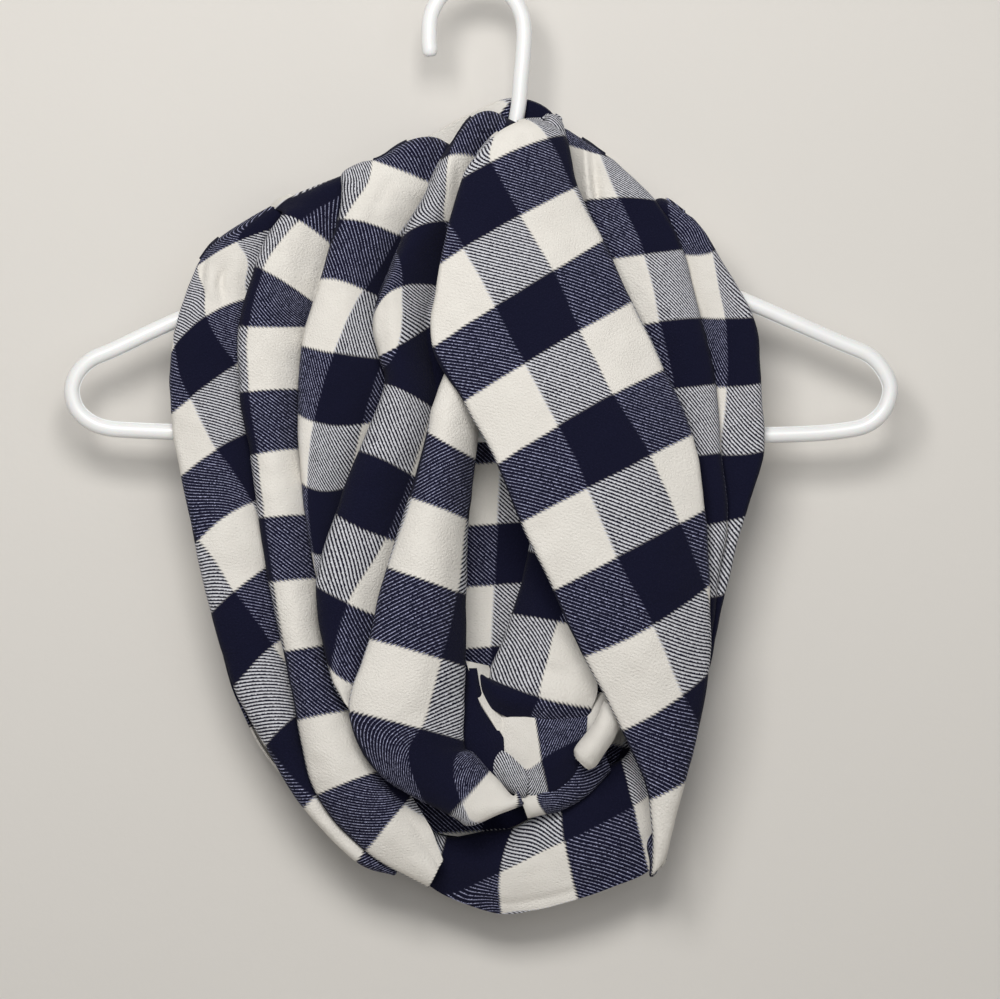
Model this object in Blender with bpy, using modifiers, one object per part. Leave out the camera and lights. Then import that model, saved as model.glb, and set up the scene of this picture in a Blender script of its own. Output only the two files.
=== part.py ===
"""Infinity scarf, wound twice round and hung on a tubular plastic clothes hanger.

Lengths in the tables are millimetres. x runs to the right, "drop" is how far a point lies
below the inside of the hook's crest, and "out" is how far the cloth's face stands in front
of the hanger's plane. The front faces -Y and the wall is on the +Y side.
"""

import math

import bpy
import numpy as np
from mathutils import Matrix, Vector
from mathutils.bvhtree import BVHTree

MM = 0.001
CLOTH = 1.2  # wall of brushed flannel
FOLD_RADIUS = 3.2  # outside of a folded edge
RETURN = 8.0  # how far a folded edge goes back in behind its face
TUCK = 7.0  # how far a covered edge runs on beneath its neighbour
SEAM = 0.45  # gap where one piece rests on the next
ROD = 3.9  # radius of the hanger's tube
CREST_RADIUS = 9.0  # where a stretch turns over the top

# Centre line of the hanger's rod, one row a point: (x, drop).
HOOK = (
    (-23, 31), (-23.4, 24), (-22.6, 13), (-17.5, 3.3), (-9, -2.6), (0, -3.9), (9, -2.7), (17, 2.6),
    (22.2, 11), (24, 20), (23.6, 32), (22.4, 45), (21, 60), (17.5, 74), (11, 86), (6, 94), (4, 101.5),
)
FRAME = (
    (2, 100), (-30, 113), (-90, 139.5), (-150.5, 165.7), (-180, 179.5), (-192, 184.8), (-198.5, 190.7),
    (-201.6, 197), (-202, 203), (-199.5, 210), (-194, 215.5), (-186, 219), (-172, 220.5), (-120, 222),
    (0, 222.5), (120, 223), (165, 222.3), (188, 220), (197.5, 216.7), (204, 210.5), (207, 202.5),
    (206.5, 196), (202, 188), (195, 182), (182, 176.5), (160, 166.8), (138, 157.2), (84, 134.5), (34, 113.5),
)

# The stretches. Each row is a line of the cloth from its left edge to its right one, as
# three points (x, drop, out): left, middle, right. The first row is the upper end.
RIGHT_OUTER_FALL = (
    ((86, 106, 9), (93, 104.5, 12), (102, 108.5, 11)),
    ((92, 119, 9), (103, 118, 13), (113, 120, 12)),
    ((99.5, 132, 9.5), (111, 133.5, 14), (120, 131, 12.7)),
    ((107.5, 164, 9.5), (124, 165, 14), (139, 164.5, 12.7)),
    ((114.5, 199, 9.5), (130, 199, 14), (142.5, 197.5, 12.7)),
    ((117.5, 232.5, 9), (131, 233, 13), (143, 231, 12.7)),
    ((119, 266, 8), (128, 265.5, 12), (134.5, 263.5, 12)),
    ((113, 304, 8), (120, 303.5, 11), (124.5, 302, 11)),
    ((108.5, 339, 8), (113, 339, 10), (116.5, 339, 10)),
)
RIGHT_INNER_FALL = (
    ((40, 66, 10), (51, 74, 14), (62, 80, 15)),
    ((45, 78, 10), (56, 82, 16), (68, 85, 16)),
    ((48, 107, 11), (70, 105, 18), (89.5, 106.5, 17)),
    ((58.5, 136.5, 11), (84, 133.5, 19), (103.5, 131, 17)),
    ((76, 169, 11), (97, 166, 19), (112, 165, 17)),
    ((90, 201, 11), (106, 199.5, 19), (119.5, 198, 17)),
    ((103.5, 234, 11), (114, 233, 18), (122.5, 232, 17)),
    ((108.5, 268.5, 11), (117.5, 267.5, 17), (125, 266, 16)),
    ((108, 304, 10), (114, 304, 16), (120, 303.5, 15)),
    ((107, 335, 9), (111.5, 335, 14), (116, 335, 14)),
)
OUTER_LEFT_FALL = (
    ((-136.5, 131.5, 12.5), (-123, 118, 14), (-109, 110, 9.5)),
    ((-137.5, 134, 12.5), (-121.5, 122, 14), (-105, 113.5, 9.5)),
    ((-139.5, 139, 12.5), (-119, 127, 14), (-102, 120.5, 9.5)),
    ((-146.5, 157, 12.5), (-127, 144, 14), (-106.5, 136, 9.5)),
    ((-152, 182, 12.5), (-136.5, 165, 14), (-114, 155, 9.5)),
    ((-152, 212.5, 12.5), (-135.5, 199.5, 15.5), (-118, 186.5, 9.5)),
    ((-147, 243.5, 12.5), (-130, 231, 15.5), (-114, 222, 9.5)),
    ((-140, 277.5, 12.5), (-125, 263.5, 15.5), (-109.5, 256, 9.5)),
    ((-132, 312, 12.5), (-118.5, 299.5, 15.5), (-104, 288.5, 9.5)),
    ((-120.5, 349, 12.5), (-109, 335.5, 15.5), (-97.5, 325.5, 9.5)),
    ((-105, 378.5, 12.5), (-97, 369.5, 15.5), (-89, 363, 9.5)),
    ((-86, 409, 11), (-82, 405, 13), (-78, 401, 8)),
    ((-60, 436, 7), (-57.5, 432.5, 9), (-55, 429, 5)),
    ((-41, 443, 4), (-39.5, 441, 5), (-38, 439, 3)),
)
LEFT_MIDDLE_FOLD = (
    ((-104, 107.5, 17), (-85, 100.5, 18), (-63.5, 91.5, 10)),
    ((-98, 110, 17), (-82, 107, 18), (-66.5, 111.5, 10)),
    ((-96.5, 113.5, 19), (-86, 117.5, 22), (-72, 128.5, 10)),
    ((-104, 124, 19), (-92, 130, 22), (-77, 142, 10)),
    ((-110, 139, 19), (-96.5, 146, 22), (-81, 156.5, 10)),
    ((-118, 169, 19), (-102, 169.5, 22), (-85.5, 169, 10)),
    ((-117.5, 202, 19), (-102.5, 200.5, 22), (-88, 200, 10)),
    ((-112.5, 233.5, 19), (-100, 231, 22), (-88, 230, 10)),
    ((-108, 264.5, 19), (-95, 263, 22), (-81, 262.5, 10)),
    ((-103, 296.5, 19), (-91, 295, 23), (-79, 294.5, 11)),
    ((-96, 330.5, 19), (-86, 329, 24), (-75.5, 327.5, 12)),
    ((-89, 365, 18), (-76.5, 362, 25), (-62, 360, 14)),
    ((-79.5, 402, 16), (-64, 395.5, 24), (-48, 390, 17)),
    ((-55.5, 430.5, 12), (-46, 419, 19), (-36.5, 408, 16)),
    ((-23.5, 449, 7), (-20.5, 444, 12), (-18, 438.5, 10)),
)
LEFT_INNER_FOLD = (
    ((-46, 81.5, 15), (-32, 74.5, 18), (-20, 74, 11)),
    ((-53, 85.5, 18), (-38, 91, 20), (-21, 98, 11)),
    ((-66, 92, 20), (-46, 100.5, 23), (-26.5, 108, 11)),
    ((-67, 101, 20), (-50, 107.5, 24), (-29, 114, 11)),
    ((-69, 116, 20), (-54.5, 117.5, 24), (-35, 125, 11)),
    ((-77.5, 145.5, 20), (-64, 147.5, 24), (-45, 156.5, 11)),
    ((-87, 178.5, 20), (-66, 183, 24), (-38, 186, 11)),
    ((-88.5, 212.5, 20), (-71, 218.5, 23), (-49, 216, 11)),
    ((-87, 246.5, 21), (-76, 251, 23), (-61, 248, 13)),
    ((-82, 281, 21), (-77, 283, 22), (-70, 281, 15)),
    ((-79, 296, 20), (-76, 297, 21), (-72, 296, 16)),
)
THROAT_FOLD = (
    ((-12, 74.5, 19), (1, 61, 23), (14, 63, 14)),
    ((-19, 88, 21), (-10, 84, 26), (3, 86, 14)),
    ((-27, 106.5, 22), (-17, 102.5, 28), (-2, 101, 14)),
    ((-37, 125, 23), (-24.5, 118.5, 29), (-8, 117, 15)),
    ((-50.5, 164, 23), (-40, 151, 29), (-20, 149, 15)),
    ((-47.5, 184, 24), (-37, 178.5, 29), (-24, 170, 15)),
    ((-45.5, 198, 24), (-34.5, 202, 30), (-19, 212, 16)),
    ((-58, 231, 24), (-45, 236, 30), (-28.5, 245, 16)),
    ((-70.5, 262.5, 24), (-56.5, 270, 30), (-36.5, 277, 16)),
    ((-79, 298, 24), (-64, 306, 29), (-46, 314, 16)),
    ((-74, 336.5, 25), (-66, 344, 28), (-55, 349, 18)),
    ((-66, 354, 25), (-63, 357.5, 27), (-58, 360, 20)),
)
CENTRE_STRAND = (
    ((-15, 190, 31), (-8, 194, 33), (1, 201, 19)),
    ((-21, 207.5, 31), (-10, 211, 34), (2, 217, 19)),
    ((-24.5, 221.5, 31), (-13, 228, 36), (0, 235, 19)),
    ((-33.5, 254, 31), (-18.5, 259, 38), (-3.5, 265.5, 19)),
    ((-44, 288.5, 31), (-24, 295, 39), (-4.5, 302.5, 19)),
    ((-53, 324, 31), (-28, 330.5, 38), (-4.5, 338.5, 19)),
    ((-63, 359.5, 30), (-37, 365.5, 36), (-6, 375, 19)),
    ((-48, 391, 28), (-27, 385.5, 32), (-1, 381, 19)),
    ((-12.5, 412, 25), (-3, 401, 28), (7, 390, 18)),
    ((4.5, 418, 24), (8, 408, 27), (14, 395, 19)),
    ((25, 411, 22), (23, 405, 24), (21, 398, 18)),
)
INNER_FOLDS = (
    ((27, 275, 8), (35, 277.5, 12), (44, 281, 14)),
    ((22.5, 296, 9), (35, 299, 16), (50, 303, 18)),
    ((17.5, 312.5, 10), (32, 314.5, 18), (52, 318, 20)),
    ((13, 330, 12), (32, 333, 21), (58, 338, 22)),
    ((7.5, 346, 14), (32, 352.5, 24), (64, 361, 22)),
    ((5, 356, 12), (29, 365, 22), (60, 372, 18)),
    ((13, 365, 2), (32, 374, 8), (54, 380, 6)),
)
LOWER_TUCK = (
    ((9.5, 366, 20), (19.5, 364, 24), (30, 368, 20)),
    ((11, 381, 21), (23, 386, 27), (36, 380, 22)),
    ((19, 401, 20), (28, 397, 25), (41, 388, 22)),
    ((30, 408, 16), (39, 402, 20), (51, 387, 18)),
)
RIGHT_TUCK = (
    ((54, 357, 22), (62, 357, 24), (69, 358, 22)),
    ((50, 373, 22), (59, 372, 27), (70, 371, 23)),
    ((49, 385, 20), (56, 387, 25), (68, 379, 21)),
)
BOTTOM_SLING = (
    ((-37, 437, 3), (-32, 428, 5), (-26, 419, 4)),
    ((-22, 449.5, 5), (-16, 436, 9), (-13, 424, 8)),
    ((-5.5, 457.5, 6), (-2, 439, 12), (4, 421, 11)),
    ((13, 462.5, 7), (12, 441, 14), (19.5, 419, 12)),
    ((32, 460, 8), (29.5, 436, 14), (31, 412, 12)),
    ((51, 455, 8), (45, 429, 14), (43, 406, 11)),
    ((69.5, 448.5, 7), (64, 418, 13), (57, 392.5, 10)),
    ((87, 441, 5), (80, 412, 11), (73, 385, 8)),
    ((93, 432, 4), (86, 403, 9), (78, 378, 7)),
    ((97, 416, 3), (90, 395, 6), (83, 373, 5)),
)
FRONT_BAND = (
    ((1, 83.5, 34), (16, 69, 36), (34.5, 65, 27)),
    ((-7, 97, 37), (22, 81.5, 39), (44.5, 75, 28)),
    ((-18, 139, 39), (17, 118, 41), (51, 100, 28)),
    ((-21.5, 180, 40), (23, 151.5, 42), (63.5, 126.5, 27)),
    ((-6, 207, 41), (36, 181, 43), (77.5, 157, 27)),
    ((10.5, 238, 41), (53, 211.5, 43), (93.5, 190.5, 27)),
    ((22.5, 266.5, 40), (67, 243.5, 42), (107.5, 223, 27)),
    ((38, 300, 37), (79.5, 278.5, 39), (114, 260, 26)),
    ((53.5, 333, 33), (87.5, 317.5, 36), (116, 297.5, 25)),
    ((72, 369.5, 27), (94.5, 357.5, 30), (116, 341.5, 22)),
    ((86, 404.5, 20), (95.5, 400, 23), (104, 395.5, 18)),
    ((87, 441, 12), (90.5, 437.5, 14), (94, 433, 12)),
)

RIM_OUT = -1.0  # over the rim of the cloth behind
STEM_FRONT = ROD + 1.0
STAYS = 99.0  # turned over, but left lying on what is beneath

# How each stretch is laid, in the order in which one comes over the last: its table, its left
# and right edges, and where its upper end stops after it runs back over the top (out, or None
# if it starts beneath another).
LAID = (
    ("right_outer_fall", RIGHT_OUTER_FALL, "tucked", "folded", RIM_OUT),
    ("right_inner_fall", RIGHT_INNER_FALL, "tucked", "folded", RIM_OUT),
    ("outer_left_fall", OUTER_LEFT_FALL, "folded", "tucked", RIM_OUT),
    ("inner_folds", INNER_FOLDS, "folded", "plain", None),
    ("lower_tuck", LOWER_TUCK, "folded", "plain", None),
    ("right_tuck", RIGHT_TUCK, "folded", "plain", None),
    ("bottom_sling", BOTTOM_SLING, "plain", "folded", None),
    ("left_middle_fold", LEFT_MIDDLE_FOLD, "folded", "tucked", RIM_OUT),
    ("left_inner_fold", LEFT_INNER_FOLD, "folded", "tucked", RIM_OUT),
    ("throat_fold", THROAT_FOLD, "folded", "tucked", STEM_FRONT),
    ("centre_strand", CENTRE_STRAND, "folded", "tucked", None),
    ("front_band", FRONT_BAND, "folded", "folded", STAYS),
)
COVERED_DROP = 6.0  # a covered edge lies lower where both turn over the top
ROWS_PER_LINE = 1.5
FACE_POINTS = 5  # across a stretch, between its two bends
START_AHEAD = 90.0  # each stretch comes in from here until it rests on what lies beneath
FARTHEST_BACK = 30.0
PROBE_EVERY = 2.5

# The back: top and bottom of the cloth at each distance across, (x, top, bottom).
BACK_SWAG = (
    (-150.5, 186, 214), (-145, 163, 250), (-138, 140, 284), (-121, 121, 343), (-103, 112, 381),
    (-84, 105, 408), (-63, 95, 426), (-42, 84, 436), (-20, 70.5, 444), (0, 60, 452),
    (18, 53.5, 455), (36, 59, 450), (50, 78.5, 444), (66, 88.5, 436), (84, 103.5, 424),
    (100, 111.5, 396), (112, 123, 352), (126, 142, 290), (137, 160, 246), (142, 186, 216),
)
SWAG_OUT = -8.0  # at its rim
SWAG_BULGE = 15.0
SWAG_FOLDS = 5  # folds that hang from shoulder to shoulder
SWAG_FOLD_HEIGHT = 3.2
SWAG_RIM = 7.0  # how far in from its edges it rounds off

# The inner strand lies over both shoulders of the hanger and hangs between them.
INNER_LEFT = -124.0
INNER_RIGHT = 114.0
INNER_LOWEST = 424.0
INNER_RISE = 128.0  # how much higher its lower edge is at each side
INNER_OUT = -12.5
NECK_X = 9.0
NECK_HALF = 16.0
SHOULDER_REACH = 48.0
SHOULDER_SLOPE = 0.43
SHOULDER_END = 175.0  # the bars above this drop are the shoulders


def clear_scene():
    for item in list(bpy.data.objects):
        bpy.data.objects.remove(item, do_unlink=True)


def material(name, colour, roughness, metallic=0.0):
    made = bpy.data.materials.new(name)
    made.use_nodes = True
    shader = made.node_tree.nodes["Principled BSDF"]
    shader.inputs["Base Color"].default_value = (*colour, 1.0)
    shader.inputs["Roughness"].default_value = roughness
    shader.inputs["Metallic"].default_value = metallic
    made.diffuse_color = (*colour, 1.0)
    return made


def smooth_rows(rows, along):
    """Rows at fractional positions, on the smooth curve through every row of the table."""
    rows = np.asarray(rows, float)
    first = 2 * rows[:1] - rows[1:2]
    last = 2 * rows[-1:] - rows[-2:-1]
    padded = np.concatenate([first, rows, last])
    index = np.clip(np.floor(along).astype(int), 0, len(rows) - 2)
    part = (along - index).reshape((-1,) + (1,) * (rows.ndim - 1))
    a, b, c, d = (padded[index + step] for step in range(4))
    curve = 2 * b + (c - a) * part + (2 * a - 5 * b + 4 * c - d) * part**2
    return 0.5 * (curve + (3 * b - a - 3 * c + d) * part**3)


def across(rows, share):
    """Points on the curve through left, middle and right of each row, run straight on past its ends."""
    beyond = (share - np.clip(share, 0, 1))[..., None]
    share = np.clip(share, 0, 1)[..., None]
    left = (1 - share) * (1 - 2 * share)
    middle = 4 * share * (1 - share)
    right = share * (2 * share - 1)
    chord = (rows[:, None, 2] - rows[:, None, 0]) * (1, 1, 0)
    face = left * rows[:, None, 0] + middle * rows[:, None, 1] + right * rows[:, None, 2]
    return face + beyond * chord


def stations(width, left, right):
    """Across one row: how far along its width each point lies, and how far behind the face."""
    radius = min(FOLD_RADIUS, max(0.26 * width, 1.3 * CLOTH))
    inward = max(min(RETURN, 0.5 * width - radius - 1.5), 0.3)
    tuck = min(TUCK, 0.35 * width)
    bend = [(radius + inward, 2 * radius)]
    for angle in (-90, -35, 20):
        turn = math.radians(angle)
        bend.append((radius * (1 - math.cos(turn)), radius * (1 - math.sin(turn))))
    ends = {
        "folded": (bend, radius),
        "tucked": ([(-tuck, 0.2 * tuck), (-0.5 * tuck, 0.05 * tuck)], 0.0),
        "plain": ([], 0.0),
    }
    near, near_start = ends[left]
    far, far_start = ends[right]
    face = [
        (near_start + (width - near_start - far_start) * step / (FACE_POINTS - 1), 0.0)
        for step in range(FACE_POINTS)
    ]
    return near + face + [(width - at, behind) for at, behind in reversed(far)]


def held_forward(places, width, left, right):
    """How far short of the rim each point of the first row stops, so that a fold stays open."""
    radius = places[:, 1].max() / 2
    folded = [np.full(len(places), np.inf)]
    folded += [places[:, 0]] if left == "folded" else []
    folded += [width - places[:, 0]] if right == "folded" else []
    inward = np.min(folded, axis=0) - radius
    face = 2 * radius * np.clip(1 - inward / (RETURN + 3), 0, 1)
    return np.where(places[:, 1] > 0, 2 * radius - places[:, 1], face)


def cloth_sheet(name, grid, thickness, look, offset):
    """A sheet through a grid of points (row, column, xyz in mm), with its wall."""
    count, wide, _ = grid.shape
    faces = [
        (r * wide + c, (r + 1) * wide + c, (r + 1) * wide + c + 1, r * wide + c + 1)
        for r in range(count - 1)
        for c in range(wide - 1)
    ]
    mesh = bpy.data.meshes.new(name)
    mesh.from_pydata((grid.reshape(-1, 3) * MM).tolist(), [], faces)
    mesh.materials.append(look)
    made = bpy.data.objects.new(name, mesh)
    wall = made.modifiers.new("wall", "SOLIDIFY")
    wall.thickness = thickness * MM
    wall.offset = offset
    return made


def to_xyz(points):
    """(x, drop, out) to the object's axes."""
    return np.stack([points[..., 0], -points[..., 2], -points[..., 1]], axis=-1)


def stretch_grid(rows, left, right, over):
    """The points of one stretch, row by row from its upper end."""
    rows = np.asarray(rows, float)
    steps = np.linspace(0, len(rows) - 1, round(ROWS_PER_LINE * (len(rows) - 1)) + 1)
    if over is not None:
        fine = np.linspace(0, 3, 121)
        middles = smooth_rows(rows, fine)[:, 1, :2]
        away = np.linalg.norm(middles - middles[0], axis=1)
        turned = [CREST_RADIUS * (1 - math.cos(math.radians(a))) for a in (0, 35, 65)]
        early = np.interp(turned, away, fine)
        steps = np.concatenate([early, steps[steps > early[-1] + 0.3]])
    lines = smooth_rows(rows, steps)
    out = []
    top = lines[0]
    for line in lines:
        width = np.linalg.norm(line[2, :2] - line[0, :2])
        places = np.array(stations(width, left, right))
        points = across(line[None], places[None, :, 0] / width)[0]
        points[:, 2] -= places[:, 1]
        if over is not None:
            start = across(top[None], places[None, :, 0] / width)[0]
            away = np.linalg.norm(points[:, :2] - start[:, :2], axis=1)
            rest = np.clip(1 - away / CREST_RADIUS, 0, 1)
            points[:, 2] -= CREST_RADIUS * (1 - np.sqrt(1 - rest**2))
            covered = np.clip((places[:, 0] - width) / TUCK, 0, 1)
            points[:, 1] += COVERED_DROP * covered * rest
        out.append(points)
    if over is not None:
        out.insert(0, out[0] + np.array((0, 1.5, -0.5)))
    width = np.linalg.norm(top[2, :2] - top[0, :2])
    places = np.array(stations(width, left, right))
    return np.array(out), held_forward(places, width, left, right)


def evaluated(item):
    """Points along the edges of an object with its modifiers, and its faces as a tree."""
    graph = bpy.context.evaluated_depsgraph_get()
    mesh = item.evaluated_get(graph).to_mesh()
    points = [vertex.co.copy() for vertex in mesh.vertices]
    faces = [tuple(face.vertices) for face in mesh.polygons]
    probes = list(points)
    for edge in mesh.edges:
        start, end = (points[index] for index in edge.vertices)
        parts = math.ceil((end - start).length / (PROBE_EVERY * MM))
        probes += [start.lerp(end, part / parts) for part in range(1, parts)]
    return probes, BVHTree.FromPolygons(points, faces)


def settle(item, towards, beneath):
    """Moves a piece along Y until it rests a seam's width off what lies beneath."""
    probes, own = evaluated(item)
    way = Vector((0, towards, 0))
    nearest = (START_AHEAD + FARTHEST_BACK) * MM
    for other_probes, other in beneath:
        hits = [other.ray_cast(point, way)[3] for point in probes]
        hits += [own.ray_cast(point, -way)[3] for point in other_probes]
        nearest = min([nearest] + [hit for hit in hits if hit is not None])
    item.data.transform(Matrix.Translation(way * (nearest - SEAM * MM)))
    beneath.append(evaluated(item))


def reach_over(item, over, forward):
    """Draws the upper end of a settled stretch back to the rim of what it goes over."""
    for vertex, short in zip(item.data.vertices, forward):
        vertex.co.y = max(vertex.co.y, -(over + short) * MM)
    item.data.update()


def rod(name, path, closed):
    """A stretch of the hanger's tube along its centre line, as a mesh."""
    if closed:
        path = path + path[:1]
    steps = np.arange(0, len(path) - 1 + 1e-6, 0.5)
    line = smooth_rows(path, steps)
    if closed:
        line = line[:-1]
    curve = bpy.data.curves.new(name, "CURVE")
    curve.dimensions = "3D"
    curve.bevel_depth = ROD * MM
    curve.bevel_resolution = 3
    curve.use_fill_caps = True
    spline = curve.splines.new("POLY")
    spline.points.add(len(line) - 1)
    for point, (x, drop) in zip(spline.points, line):
        point.co = (x * MM, 0, -drop * MM, 1)
    spline.use_cyclic_u = closed
    holder = bpy.data.objects.new(name, curve)
    mesh = bpy.data.meshes.new_from_object(holder)
    bpy.data.objects.remove(holder, do_unlink=True)
    made = bpy.data.objects.new(name, mesh)
    bpy.context.scene.collection.objects.link(made)
    return made


clear_scene()
scarf = bpy.data.collections.new("infinity_scarf_on_hanger")
bpy.context.scene.collection.children.link(scarf)
flannel = material("check_flannel", (0.32, 0.32, 0.38), 0.95)
plastic = material("white_plastic", (0.86, 0.87, 0.88), 0.28)

# Hanger: one moulding, the hook's stem joined to the frame at the neck.
hanger = rod("hanger", FRAME, True)
bpy.context.scene.collection.objects.unlink(hanger)
scarf.objects.link(hanger)
stem = rod("hanger_hook", HOOK, False)
stem.hide_render = True
stem.hide_viewport = True
joined = hanger.modifiers.new("stem", "BOOLEAN")
joined.operation = "UNION"
joined.solver = "EXACT"
joined.object = stem
hanger.data.materials.clear()
hanger.data.materials.append(plastic)

# Inner strand: over the shoulders, then down behind the hanger.
columns = np.linspace(INNER_LEFT, INNER_RIGHT, 24)
line = smooth_rows(FRAME + FRAME[:1], np.arange(0, len(FRAME), 0.25))
shoulders = np.array(sorted((x, drop) for x, drop in line if drop < SHOULDER_END))
turn_radius = (ROD + 1.5 * SEAM + CLOTH / 2) / math.cos(math.atan(SHOULDER_SLOPE))
grid = []
for x in columns:
    share = (x - INNER_LEFT) / (INNER_RIGHT - INNER_LEFT)
    bar = np.interp(x, shoulders[:, 0], shoulders[:, 1])
    clear = np.clip((abs(x - NECK_X) - NECK_HALF) / SHOULDER_REACH, 0, 1)
    start = 90 - 175 * clear * clear * (3 - 2 * clear)
    ring = [math.radians(start + (90 - start) * step / 6) for step in range(7)]
    radius = turn_radius + 3.0 * clear * (1 - clear)
    column = [(x, bar - radius * math.cos(a), -radius * math.sin(a)) for a in ring]
    low = INNER_LOWEST - INNER_RISE * ((x + 5) / 119) ** 2
    hang = INNER_OUT + 6 * abs(2 * share - 1) ** 2
    for step in range(1, 8):
        down = step / 7
        fall = 1 - (1 - down) ** 3
        column.append((x, bar + (low - bar) * down, -radius + (hang + radius) * fall))
    grid.append(column)
grid = to_xyz(np.array(grid).transpose(1, 0, 2))
inner_strand = cloth_sheet("inner_strand", grid, CLOTH, flannel, 0.0)
scarf.objects.link(inner_strand)

# Back swag: the loops that hang behind from shoulder to shoulder.
table = smooth_rows(BACK_SWAG, np.linspace(0, len(BACK_SWAG) - 1, 23))
grid = []
for index, (x, top, bottom) in enumerate(table):
    share = index / (len(table) - 1)
    belly = math.sin(math.pi * share) ** 0.6
    column = []
    for down in (0, 0.015, 0.05, 0.1, *np.linspace(0.16, 0.9, 13), 0.95, 0.985, 1):
        height = bottom - top
        rim = min(down, 1 - down) * height
        round_off = 1 - math.sqrt(1 - max(0, 1 - rim / SWAG_RIM) ** 2)
        swell = math.sin(math.pi * (0.1 + 0.8 * down)) ** 0.7
        fold = math.cos(2 * math.pi * SWAG_FOLDS * down) * math.sqrt(belly)
        out = SWAG_OUT - SWAG_BULGE * belly * swell - SWAG_FOLD_HEIGHT * fold * belly
        column.append((x, top + height * down, out + SWAG_RIM * round_off))
    grid.append(column)
grid = to_xyz(np.array(grid))
grid[..., 1] += START_AHEAD
back_swag = cloth_sheet("back_swag", grid, CLOTH, flannel, -1.0)
scarf.objects.link(back_swag)

bpy.context.view_layer.update()
beneath = [evaluated(hanger), evaluated(inner_strand)]
settle(back_swag, -1, beneath)

for name, rows, left, right, over in LAID:
    grid, forward = stretch_grid(rows, left, right, over)
    grid = to_xyz(grid)
    grid[..., 1] -= START_AHEAD
    made = cloth_sheet(name, grid, CLOTH, flannel, -1.0)
    scarf.objects.link(made)
    bpy.context.view_layer.update()
    settle(made, 1, beneath)
    if over is not None:
        reach_over(made, over, forward)
        beneath[-1] = evaluated(made)
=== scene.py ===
"""Looks of a looped flannel scarf that hangs, wound twice round, on a tubular plastic hanger.

Lengths in the tables are millimetres: x runs to the right, "drop" is how far a point lies below
the inside of the hook's crest, and "out" is how far the cloth's face stands in front of the
hanger's plane. "col" and "row" count the squares of the check across and along the cloth.
A row of a stretch's table holds its left, middle and right points as (x, drop, out, col, row).
A crease is a line of (x, drop) points, with its half width and its height.
"""

import math

import bpy
import numpy as np
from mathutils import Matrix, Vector, noise


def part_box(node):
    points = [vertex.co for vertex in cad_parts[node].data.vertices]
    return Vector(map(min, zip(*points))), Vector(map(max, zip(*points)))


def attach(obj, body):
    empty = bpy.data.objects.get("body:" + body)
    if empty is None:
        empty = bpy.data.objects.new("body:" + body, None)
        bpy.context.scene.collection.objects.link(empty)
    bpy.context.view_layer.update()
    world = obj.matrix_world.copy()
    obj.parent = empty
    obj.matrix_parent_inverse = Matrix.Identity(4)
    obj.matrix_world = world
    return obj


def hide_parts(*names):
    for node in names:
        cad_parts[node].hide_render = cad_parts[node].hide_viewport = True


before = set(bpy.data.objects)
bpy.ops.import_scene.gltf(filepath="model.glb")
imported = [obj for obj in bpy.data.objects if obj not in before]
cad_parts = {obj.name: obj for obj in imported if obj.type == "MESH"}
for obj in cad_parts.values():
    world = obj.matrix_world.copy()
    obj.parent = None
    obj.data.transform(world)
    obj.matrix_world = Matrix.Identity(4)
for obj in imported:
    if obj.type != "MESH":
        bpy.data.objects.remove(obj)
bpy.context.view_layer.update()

# ---- Hanger -----------------------------------------------------------------------------
# One moulding of white gloss plastic: an 8 mm rod bent into a broad triangle with round ends,
# and a round hook that grows out of its neck. A fine line runs along it where the mould closed.

MM = 0.001
ROD = 3.9
MOULD_LINE = 0.28  # radius of the raised line
MOULD_LINE_OUT = 0.6  # how far in front of the rod's middle it runs
HOOK = (
    (-22.9, 33.5), (-22.95, 33.1), (-23, 31.9), (-23.1, 30), (-23.4, 24), (-22.6, 13), (-17.5, 3.3),
    (-9, -2.6), (0, -3.9), (9, -2.7), (17, 2.6), (22.2, 11), (24, 20), (23.6, 32), (22.4, 45), (21, 60),
    (17.5, 74), (11, 86), (6, 94), (4, 101.5),
)
TIP_SHARES = (0.35, 0.72, 0.92)  # of the rod's radius, at the hook's first three points
FRAME = (
    (2, 100), (-30, 113), (-90, 139.5), (-150.5, 165.7), (-180, 179.5), (-192, 184.8), (-198.5, 190.7),
    (-201.6, 197), (-202, 203), (-199.5, 210), (-194, 215.5), (-186, 219), (-172, 220.5), (-120, 222),
    (0, 222.5), (120, 223), (165, 222.3), (188, 220), (197.5, 216.7), (204, 210.5), (207, 202.5),
    (206.5, 196), (202, 188), (195, 182), (182, 176.5), (160, 166.8), (138, 157.2), (84, 134.5),
    (34, 113.5),
)
PATH_STEP = 0.2  # a rod's centre line has five points to each of its table
SHARP_JOIN = math.radians(50)
PLASTIC_SHADE = (0.80, 0.81, 0.81, 1)
PLASTIC_LIGHT = (0.88, 0.88, 0.87, 1)
OBJECT_PLACE = 3  # the output of Texture Coordinate that keeps to the object


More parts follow.
